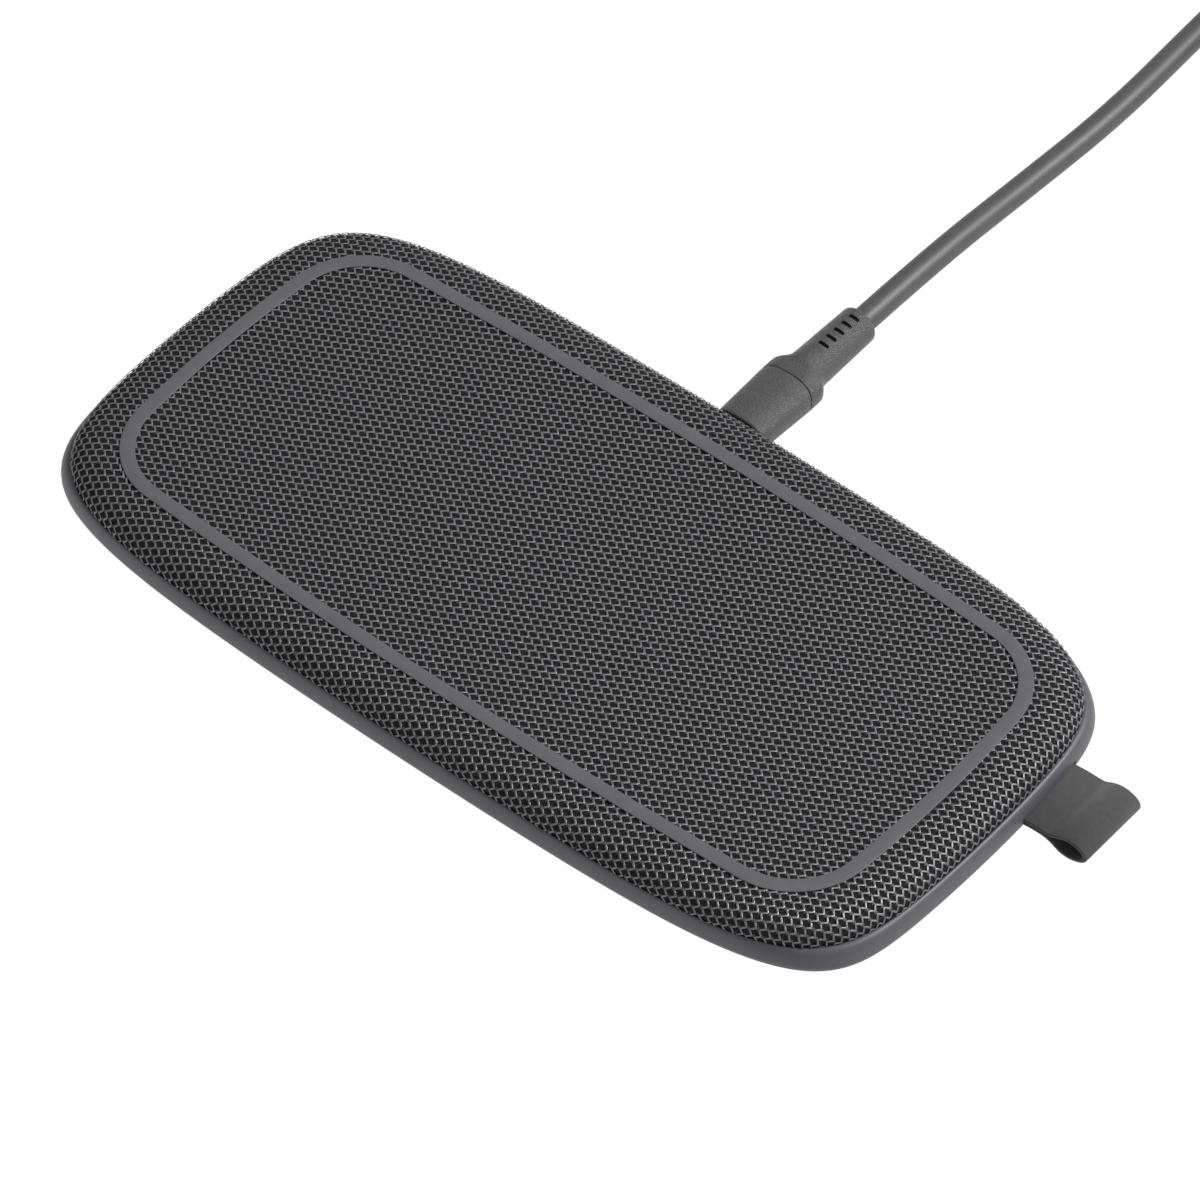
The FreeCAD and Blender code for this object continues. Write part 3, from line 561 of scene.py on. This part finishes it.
def shoulder_table():
    """The shoulder's section: distance along it from the flat top, inset from the seam, height and slope."""
    turn = np.linspace(0, TAU / 4, 600)
    inset = SHOULDER_W - (SHOULDER_W - SEAM_GAP) * np.sin(turn) ** (2 / SHOULDER_POWER)
    z = FABRIC_TOP - (FABRIC_TOP - SEAM_Z) * (1 - np.cos(turn) ** (2 / SHOULDER_POWER))
    along = np.concatenate([[0], np.cumsum(np.hypot(np.diff(inset), np.diff(z)))])
    return along, inset, z, unit(np.stack([np.gradient(z, along), np.gradient(inset, along)], 1))


ALONG, INSET, HEIGHT, SLOPE = shoulder_table()


def on_shoulder(down):
    """Inset, height, and the outward and upward parts of the normal, at distances down the shoulder."""
    return (np.interp(down, ALONG, INSET), np.interp(down, ALONG, HEIGHT),
            -np.interp(down, ALONG, SLOPE[:, 0]), -np.interp(down, ALONG, SLOPE[:, 1]))


def wrap(flat, lift):
    """Lays points of the flat cloth on the pad: straight on the top, down the shoulder outside it.
    Returns the places, lifted off the surface, and whether each lies on the cloth."""
    # The depth inside the seam: from the nearest of its points, along that point's normal.
    foot = nearest(flat)
    depth = -((flat - SEAM[foot]) * SEAM_N[foot]).sum(1)
    side = flat - SEAM[foot] + SEAM_N[foot] * depth[:, None]
    base = SEAM[foot] + side
    down = np.maximum(SHOULDER_W - depth, 0)
    kept = down < ALONG[-1]
    inset, z, out, up = on_shoulder(np.minimum(down, ALONG[-1]))
    on_top = depth > SHOULDER_W
    inset, out, up = np.where(on_top, depth, inset), np.where(on_top, 0, out), np.where(on_top, 1, up)
    spots = base - SEAM_N[foot] * (inset - out * lift)[:, None]
    return np.column_stack([spots, z + up * lift]), kept


def nearest(flat):
    """The number of the seam's nearest point, for each flat point."""
    tree = KDTree(len(SEAM))
    for i, (x, y) in enumerate(SEAM):
        tree.insert((x, y, 0), i)
    tree.balance()
    return np.array([tree.find((x, y, 0))[1] for x, y in flat])


def zigzag(y, phase):
    """A rounded zigzag from -1 to 1."""
    return np.arcsin(YARN_SHARP * np.sin(TAU * (y - phase) / YARN_Y + TAU / 4)) / math.asin(YARN_SHARP)


def pattern_reach():
    """Half the pattern's height, and the numbers of its columns, which are half a repeat apart."""
    reach_x, reach_y = SEAM[:, 0].max() + YARN_MARGIN, SEAM[:, 1].max() + YARN_MARGIN
    return reach_y, range(int(-2 * reach_x / YARN_X) - 1, int(2 * reach_x / YARN_X) + 2)


def make_yarns():
    """Zigzag yarns side by side, each the mirror of its neighbour, standing on the ground cloth."""
    reach_y, columns = pattern_reach()
    first = YARN_PHASE[1] - math.ceil(reach_y / YARN_Y) * YARN_Y
    y = np.arange(first, reach_y, YARN_Y / YARN_STEPS)
    low, top, faces = [], [], []
    for k in columns:
        mirror = 1 if k % 2 == 0 else -1
        middle = YARN_PHASE[0] + (k + 0.5) * YARN_X / 2
        line = np.stack([middle + mirror * YARN_SWING * zigzag(y, YARN_PHASE[1]), y], 1)
        ahead = unit(np.gradient(line, axis=0))
        across = np.stack([ahead[:, 1], -ahead[:, 0]], 1) * YARN_HALF_W
        low.append(np.stack([line - across, line + across], 1))
        top.append(line)
    sides = wrap(np.concatenate(low).reshape(-1, 2), YARN_FOOT)[0]
    crest, kept = wrap(np.concatenate(top), YARN_LIFT)
    verts = np.stack([sides[0::2], crest, sides[1::2]], 1).reshape(-1, 3)
    count = len(y)
    for k in range(len(low)):
        for i in range(count - 1):
            a, b = k * count + i, k * count + i + 1
            if kept[a] or kept[b]:
                faces.append((3 * a, 3 * a + 1, 3 * b + 1, 3 * b))
                faces.append((3 * a + 1, 3 * a + 2, 3 * b + 2, 3 * b + 1))
    used = sorted({v for f in faces for v in f})
    renumber = {v: i for i, v in enumerate(used)}
    faces = [tuple(renumber[v] for v in f) for f in faces]
    return verts[used], faces


def make_floats():
    """Short cross floats where neighbouring yarns come closest; they close the open cells."""
    reach_y, columns = pattern_reach()
    rows = np.arange(math.floor(-reach_y / YARN_Y), math.ceil(reach_y / YARN_Y))
    spots = []
    for k in columns:
        start = YARN_PHASE[1] + (0.5 if k % 2 == 0 else 0.0) * YARN_Y
        spots.append(np.column_stack([np.full(len(rows), YARN_PHASE[0] + k * YARN_X / 2), start + rows * YARN_Y]))
    spots = np.concatenate(spots)
    half_x, half_y = FLOAT_HALF
    corners = [(-half_x, 0), (0, -half_y), (half_x, 0), (0, half_y)]
    middle, kept = wrap(spots, -FLOAT_DEEP)
    sides = [wrap(spots + np.array(corner), -FLOAT_DEEP - FLOAT_DROP)[0] for corner in corners]
    verts = np.stack([middle] + sides, 1)[kept].reshape(-1, 3)
    faces = [(5 * i, 5 * i + 1 + j, 5 * i + 1 + (j + 1) % 4) for i in range(len(verts) // 5) for j in range(4)]
    return verts, faces


def make_fabric():
    """The ground cloth from the seam up to the flat top, and the yarns and floats on it."""
    rows = []
    for share in np.concatenate([[1.0], np.linspace(0.985, 0, 22)]):
        inset, z, out, up = on_shoulder(share * ALONG[-1])
        line = SEAM[::3] - SEAM_N[::3] * (inset + out * GROUND_DEEP)
        rows.append(at_height(line, z - up * GROUND_DEEP))
    rows.insert(0, rows[0] - [0, 0, GROUND_TUCK])
    verts, faces = rings(rows, cap_end=True)
    ground = mesh_object("fabric_ground", verts, faces)
    paint(ground, ground_material())
    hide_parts("fabric_cover")
    yarns = paint(mesh_object("fabric_yarns", *make_yarns()), yarn_material())
    bridges = paint(mesh_object("fabric_floats", *make_floats()), float_material())


# ------------------------------------------------------------------ rubber band on the top
def band_ring(profile):
    """A ring whose section is a list of (inset from the band's outline, height)."""
    return rings([at_height(band_line(inset), z) for inset, z in profile], close_rows=True)


def make_band():
    """The rubber band, and a thin dark ring round it: painted shade that fills the gap round it."""
    foot, top, edge = BAND_LOW[2], BAND_HIGH[2], 0.12
    outer = [(edge * (1 - math.sin(a)), top - edge * (1 - math.cos(a))) for a in np.linspace(TAU / 4, 0, 5)]
    inner = [(BAND_W - inset, z) for inset, z in outer[::-1]]
    verts, faces = band_ring([(0, foot)] + outer + inner + [(BAND_W, foot)])
    band = mesh_object("rubber_band", verts, faces)
    sharpen(band, 60)
    paint(band, moulded("band_rubber", 0.088, 0.05, (0.45, 0.55), 8.0, 0.006, 0.4))
    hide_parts("anti_slip_band")
    # A dark ring a little wider than the band, just above the fabric: painted shade in the gaps at the band's edges.
    shade_ring_out, shade_ring_z = 0.03, FABRIC_TOP + 0.02
    verts, faces = band_ring([(-shade_ring_out, foot), (-shade_ring_out, shade_ring_z), (BAND_W + shade_ring_out, shade_ring_z),
                              (BAND_W + shade_ring_out, foot)])
    shade_ring = mesh_object("band_gap_shade", verts, faces, smooth=False)
    paint(shade_ring, moulded("gap_shade_black", 0.012, 0.0, (0.8, 0.9), 6.0, 0.01, 0.2))


# ------------------------------------------------------------------ base shell with the rim
def make_base():
    """The base shell: a recess for the mat, the rounded rim, the seam's step, the wall and the floor."""
    line, out = SEAM[::2], SEAM_N[::2]
    gap = rim_gap(line, out)

    def ring(share, shift, z):
        """The seam's line, moved out by a share of the rim's gap and by a shift, at a height."""
        return at_height(line + out * (share * gap + shift)[:, None], z)

    rows = [ring(0, -MAT_INSET, MAT_T), ring(0, -MAT_INSET, BASE_Z)]
    for turn in np.linspace(TAU / 4, 0, 9):
        rows.append(ring(1, -BASE_ROUND * (1 - math.cos(turn)), RIM_WIDE_Z - (RIM_WIDE_Z - BASE_Z) * math.sin(turn)))
    for turn in np.linspace(TAU / 4, 0.06, 16)[1:]:
        rows.append(ring(math.sin(turn), 0, RIM_WIDE_Z + (SEAM_Z - RIM_WIDE_Z) * math.cos(turn)))
    for inset, drop in ((0.06, 0.03), (0.12, 0.12), (0.12, 0.7), (WALL_INSET, 0.7)):
        rows.append(ring(0, -inset, SEAM_Z - drop))
    rows.append(ring(0, -WALL_INSET, FLOOR_Z))
    verts, faces = rings(rows, cap_start=True, cap_end=True)
    base = mesh_object("rim_and_base", verts, faces)
    socket = rounded_bar(1, (USB_X, USB_Z), (4.75, 1.85), 1.8, 41.0, 50.0)
    plug_pocket = rounded_bar(1, (USB_X, USB_Z), (5.7, 3.9), 2.4, 45.15, 50.0)
    tag_slot = rounded_bar(0, ((TAG_LOW[1] + TAG_HIGH[1]) / 2, 2.95), (7.75, 1.05), 0.3, 82.2, 93.0)
    cut_with(base, [socket, plug_pocket, tag_slot])
    sharpen(base, 38)
    paint(base, moulded("rim_plastic", 0.067, 0.11, (0.42, 0.5), 7.0, 0.008, 0.45))
    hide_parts("base_shell")


def make_mat():
    """The ribbed rubber mat in the base's recess."""
    line, out = SEAM[::4], SEAM_N[::4]
    rows = []
    for gap, z in ((0.12, MAT_T - 0.1), (0.12, 0.3), (0.25, 0.08), (0.5, 0.0)):
        rows.append(at_height(line - out * (MAT_INSET + gap), z))
    verts, faces = rings(rows, cap_start=True, cap_end=True)
    mat = mesh_object("anti_slip_mat_rubber", verts, faces)
    sharpen(mat, 30)
    made, tree, shader = material("mat_rubber", Roughness=0.75)
    where = coordinates(tree)
    ribs = wave(tree, where, 0.42, "DIAGONAL")
    tone(tree, shader, noise(tree, where, 0.5, 4.0), grey(0.018), grey(0.03))
    bump(tree, shader, ribs.outputs["Fac"], 0.3, 0.8)
    paint(mat, made)
    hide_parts("anti_slip_mat")


# ------------------------------------------------------------------ plug and strain relief
BODY_FRONT, BODY_WIDE = (10.45, 7.0), (11.45, 7.2)    # the housing's section in front and at the parting line
BODY_POWER = 2.6
FRONT_ROUND = 0.8                 # length of the housing's rounded front edge
PARTING_BULGE = 0.9               # the parting line runs this far back over the top
PARTING_Y = 0.12                  # from the parting line to where the housing's size stops growing
NECK_D0, NECK_D1 = 7.83, 7.27     # the round neck's diameter at its root and at its end
NECK_ROUND = 0.6                  # rounding of the neck's end
SLOTS, SLOT_PITCH, SLOT_Y0, SLOT_SIZE = 5, 2.1, 67.95, (2.15, 0.78)
SLOT_X = USB_X + 0.4
# How far the section has changed from the housing's to the neck's, along Y.
SHOULDER = [(60.4, 0.0), (61.0, 0.02), (61.6, 0.1), (62.2, 0.32), (62.8, 0.62), (63.4, 0.85), (64.2, 0.97),
            (65.0, 1.0)]
SHOULDER_Y0, SHOULDER_Y1 = SHOULDER[0][0], SHOULDER[-1][0]


def oval(cx, cz, y, width, height, power, count=96):
    """A superellipse across Y; power 2 is an ellipse, more is boxier."""
    turn = np.linspace(0, TAU, count, endpoint=False)
    c, s = np.cos(turn), np.sin(turn)
    x = cx + width / 2 * np.sign(c) * np.abs(c) ** (2 / power)
    z = cz + height / 2 * np.sign(s) * np.abs(s) ** (2 / power)
    even = resample(np.stack([x, z], 1), count)
    return np.column_stack([even[:, 0], np.full(count, y), even[:, 1]])


def plug_oval(y, size, shrink=0.0, power=BODY_POWER):
    """A section of the near plug, smaller than size by shrink."""
    return oval(USB_X, USB_Z, y, size[0] - shrink, size[1] - shrink, power)


def neck_circle(y, diameter):
    """A round section of the near plug's neck."""
    return plug_oval(y, (diameter, diameter), power=2)


def overmould_material():
    """Moulded rubber with a coarse, leather-like grain."""
    made, tree, shader = material("overmould")
    where = coordinates(tree)
    tone(tree, shader, noise(tree, where, 0.4, 2.0), grey(0.048, 0.05), grey(0.056, 0.05))
    fine = noise(tree, where, 3.6, 2.0, 0.75)
    roughness(tree, shader, fine, 0.2, 0.5)
    bump(tree, shader, fine, 0.22, 0.9)
    return made


def lean(row, share=1.0):
    """Bends a section's top half back, so that the parting line arches over the plug."""
    up = np.clip((row[:, 2] - USB_Z) / (BODY_WIDE[1] / 2), 0, 1)
    row[:, 1] += share * PARTING_BULGE * up ** 1.5
    return row


def cable_piece(name, rows, made, crisp):
    """A closed skin over sections, on the cable's body."""
    piece = mesh_object(name, *rings(rows, cap_start=True, cap_end=True), body="cable")
    sharpen(piece, crisp)
    return paint(piece, made)


def make_housing(grain):
    """The front half of the plug's overmould, up to the parting line."""
    y0, y1 = HOUSING_LOW[1], HOUSING_HIGH[1]
    rows = [plug_oval(y0 + dy, BODY_FRONT, shrink)
            for dy, shrink in ((0.05, 0.9), (0, 0.6), (0.12, 0.25), (0.4, 0.05), (FRONT_ROUND, 0.0))]
    for share in np.linspace(0.15, 1, 8):
        y = y0 + FRONT_ROUND + share * (y1 - PARTING_Y - y0 - FRONT_ROUND)
        size = [f + share * (w - f) for f, w in zip(BODY_FRONT, BODY_WIDE)]
        rows.append(lean(plug_oval(y, size), share))
    rows += [lean(plug_oval(y1 - dy, BODY_WIDE, shrink)) for dy, shrink in ((0.03, 0.07), (0, 0.3))]
    housing = cable_piece("plug_body", rows, grain, 50)
    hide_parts("plug_housing")


def make_relief(grain):
    """The rear half: from the parting line over the shoulder to the round neck, with its slots."""
    y0, y1 = RELIEF_LOW[1], RELIEF_HIGH[1]
    rows = [lean(plug_oval(y0 + dy, BODY_WIDE, shrink), share)
            for dy, shrink, share in ((0, 0.4, 1.0), (0.03, 0.08, 1.0), (0.15, 0, 1.0), (1.2, 0, 0.9))]
    for y in np.linspace(SHOULDER_Y0, SHOULDER_Y1, 24):
        share = float(np.interp(y, *zip(*SHOULDER)))
        size = [w + share * (NECK_D0 - w) for w in BODY_WIDE]
        back = max(0.0, 0.75 - (y - SHOULDER_Y0) * 0.35)
        rows.append(lean(plug_oval(y, size, power=BODY_POWER + share * (2 - BODY_POWER)), back))
    for y in np.linspace(66.0, y1 - NECK_ROUND, 8):
        rows.append(neck_circle(y, NECK_D0 + (y - SHOULDER_Y1) / (y1 - SHOULDER_Y1) * (NECK_D1 - NECK_D0)))
    for turn in np.linspace(0.25, 1, 5) * TAU / 4:
        rows.append(neck_circle(y1 - NECK_ROUND + NECK_ROUND * math.sin(turn),
                                NECK_D1 - 2 * NECK_ROUND * (1 - math.cos(turn))))
    rows.append(neck_circle(y1, CABLE_D - 0.1))
    relief = mesh_object("strain_relief_sleeve", *rings(rows, cap_start=True, cap_end=True), body="cable")
    half = [side / 2 for side in SLOT_SIZE]
    cut_with(relief, [rounded_bar(2, (SLOT_X, SLOT_Y0 + i * SLOT_PITCH), half, 0.28,
                                  USB_Z + NECK_D0 / 2 - 1.0, USB_Z + 8) for i in range(SLOTS)])
    sharpen(relief, 45)
    paint(relief, grain)
    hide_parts("strain_relief")
    # A black bar inside: painted shade that makes the slots look deep.
    rows = [oval(SLOT_X, USB_Z + 2.9, y, 2.2, 0.8, 6) for y in (SLOT_Y0 - 0.8, SLOT_Y0 + 9.2)]
    slot_shade = mesh_object("slot_shade_bar", *rings(rows, cap_start=True, cap_end=True), body="cable")
    paint(slot_shade, moulded("slot_shade_black", 0.006, 0.0, (0.7, 0.8), 6.0, 0.01, 0.2))


FAR_POWER = 4.5
FAR_STRAIGHT, FAR_END = 1.5, 15.5   # where its long sides start and end, from its front
FAR_BACK_W = 8.2
BOOT_RIBS = 5


def make_far_plug(grain):
    """The plug on the other end: a boxy body that narrows to a ribbed boot."""
    x, z = TAIL_X, TAIL_Z
    y0, y1 = FAR_BODY_LOW[1], FAR_BODY_HIGH[1]
    width, height = FAR_BODY_HIGH[0] - FAR_BODY_LOW[0], FAR_BODY_HIGH[2] - FAR_BODY_LOW[2]
    rows = [oval(x, z, y0 + dy, width - shrink, height - shrink, FAR_POWER)
            for dy, shrink in ((0.05, 1.4), (0, 0.9), (0.2, 0.3), (0.6, 0))]
    for share in np.linspace(0, 1, 6):
        y = y0 + FAR_STRAIGHT + share * (FAR_END - FAR_STRAIGHT)
        rows.append(oval(x, z, y, width - 0.5 * share, height, FAR_POWER))
    for turn in np.linspace(0.15, 1, 8):
        share = turn * turn * (3 - 2 * turn)
        rows.append(oval(x, z, y0 + FAR_END + turn * (y1 - y0 - FAR_END), width - 0.5 + share * (FAR_BACK_W - width),
                         height - 0.3 * share, FAR_POWER - 2.0 * share))
    body = cable_piece("far_plug_body", rows, grain, 50)
    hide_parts("far_plug_housing")
    rows = []
    yb = FAR_BOOT_HIGH[1]
    for k in range(BOOT_RIBS):
        base = y1 - 0.05 + k * (yb - y1) / BOOT_RIBS
        d = 7.5 - 0.25 * k
        for dy, dd in ((0, -0.5), (0.15, 0), (1.6, -0.05), (1.75, -0.6)):
            rows.append(oval(x, z, min(base + dy, yb), d + dd, d + dd, 2))
    rows.append(oval(x, z, yb, CABLE_D - 0.1, CABLE_D - 0.1, 2))
    boot = cable_piece("far_plug_sleeve", rows, grain, 40)
    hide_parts("far_plug_boot")


def make_tie():
    """A plain fabric strap round one side of the coil."""
    half_w = (TIE_HIGH[0] - TIE_LOW[0]) / 2
    cx, cy, cz = (TIE_LOW + TIE_HIGH) / 2
    half_y, half_z = (TIE_HIGH[1] - TIE_LOW[1]) / 2, (TIE_HIGH[2] - TIE_LOW[2]) / 2
    rows = []
    # Outside of the strap from edge to edge, then its inside back again.
    for x, shrink, corner in ((-half_w, 0.12, 2.6), (-half_w + 0.15, 0, 2.6), (half_w - 0.15, 0, 2.6),
                              (half_w, 0.12, 2.6), (half_w, 0.45, 2.3), (-half_w, 0.45, 2.3)):
        loop = rounded_loop(half_y - shrink, half_z - shrink, corner, 8)
        rows.append(np.column_stack([np.full(len(loop), cx + x), cy + loop[:, 0], cz + loop[:, 1]]))
    tie = mesh_object("tie_strap", *rings(rows, close_rows=True), body="cable")
    sharpen(tie, 50)
    made, tree, shader = material("tie_fabric", Roughness=0.95)
    nap = noise(tree, coordinates(tree), 3.5, 4.0, 0.7)
    tone(tree, shader, nap, grey(0.012), grey(0.035))
    bump(tree, shader, nap, 0.25, 0.9)
    paint(tie, made)
    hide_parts("lead_tie")


# ------------------------------------------------------------------ loop tag
TAG_T = 0.74                      # the strap's thickness
# Its middle line seen from the side, as (x, z): out of the rim, round the loop and back in.
TAG_PATH = [(82.6, 3.24), (88.0, 3.24), (91.0, 3.5), (93.6, 3.52), (95.0, 3.68), (96.8, 4.62), (98.5, 5.08),
            (100.2, 4.86), (101.5, 4.1), (101.95, 3.0), (101.3, 2.05), (100.0, 1.42), (98.4, 1.12), (96.8, 1.36),
            (95.0, 2.3), (93.4, 2.74), (91.0, 2.74), (88.0, 2.48), (82.6, 2.48)]


def smooth_path(points, per_span=8):
    """A smooth line through points, by uniform Catmull-Rom spans."""
    points = np.array(points, float)
    ends = np.vstack([2 * points[0] - points[1], points, 2 * points[-1] - points[-2]])
    line = []
    for a, b, c, d in zip(ends, ends[1:], ends[2:], ends[3:]):
        for t in np.linspace(0, 1, per_span, endpoint=False):
            line.append(0.5 * (2 * b + (c - a) * t + (2 * a - 5 * b + 4 * c - d) * t * t
                               + (3 * b - a - 3 * c + d) * t ** 3))
    line.append(points[-1])
    return np.array(line)


def make_tag():
    """A flat strap with rounded edges, swept along its side view."""
    line = smooth_path(TAG_PATH)
    ahead = unit(np.gradient(line, axis=0))
    side = np.stack([-ahead[:, 1], ahead[:, 0]], 1)
    y0, y1 = TAG_LOW[1], TAG_HIGH[1]
    half = TAG_T / 2
    edge = [(0.22, half), (0.05, half - 0.12), (0, 0.12), (0, -0.12), (0.05, -half + 0.12), (0.22, -half)]
    far_edge = [(y1 - y0 - y, h) for y, h in edge]
    section = edge[:1] + far_edge + edge[:0:-1]
    rows = []
    for spot, way in zip(line, side):
        rows.append(np.array([(spot[0] + way[0] * h, y0 + y, spot[1] + way[1] * h) for y, h in section]))
    tag = mesh_object("loop_tag", *rings(rows, cap_start=True, cap_end=True))
    sharpen(tag, 50)
    paint(tag, strap_material())
    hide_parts("tag_loop")


# ------------------------------------------------------------------ CAD nodes that stay
def paint_nodes():
    """Materials for the CAD nodes that no Blender piece replaces."""
    metal = tinted("plug_metal", (0.55, 0.55, 0.56), (0.22, 0.34), 1.0, 2.0, 0.004, 0.04)
    steel = tinted("screw_steel", (0.4, 0.4, 0.42), (0.3, 0.45), 1.0, 4.0, 0.01)
    resin = moulded("chip_resin", 0.02, 0.0, (0.5, 0.6), 8.0, 0.01)
    contact = moulded("contact_plastic", 0.02, 0.0, (0.4, 0.5), 8.0, 0.01)
    inner = moulded("inner_plastic", 0.04, 0.0, (0.45, 0.6), 5.0, 0.02)
    ferrite = tinted("ferrite", (0.05, 0.05, 0.055), (0.5, 0.7), 0.0, 3.0, 0.02)
    copper = tinted("copper_wire", (0.6, 0.26, 0.12), (0.3, 0.45), 0.9, 6.0, 0.03)
    shield = tinted("shield", (0.55, 0.56, 0.57), (0.35, 0.5), 1.0, 2.0, 0.01)
    board = tinted("board", (0.01, 0.12, 0.05), (0.25, 0.4), 0.0, 2.0, 0.01, 0.2)
    parts = {
        metal: ["plug_shell", "usb_socket_shell", "far_plug_shell"],
        steel: ["case_screws", "board_screws"],
        resin: ["control_chips", "thermistors"],
        contact: ["plug_insert", "usb_socket_tongue", "far_plug_tongue"],
        inner: ["top_shell", "tag_clamp", "left_coil_carrier", "right_coil_carrier"],
        ferrite: ["left_ferrite", "right_ferrite", "power_inductors"],
        copper: ["left_coil", "right_coil", "left_coil_leads", "right_coil_leads"],
        shield: ["left_shield_plate", "right_shield_plate"],
        board: ["main_board"],
        tinted("capacitor_body", (0.5, 0.36, 0.2), (0.4, 0.55)): ["capacitors"],
        tinted("film", (0.7, 0.68, 0.62), (0.2, 0.4)): ["adhesive_film"],
    }
    for made, names in parts.items():
        for name in names:
            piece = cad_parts[name]
            piece.data.materials.clear()
            piece.data.materials.append(made)


make_camera()
lead = make_lead()
make_stage()
make_fabric()
make_band()
make_base()
make_mat()
grain = overmould_material()
make_housing(grain)
make_relief(grain)
make_far_plug(grain)
make_tie()
make_tag()
paint_nodes()
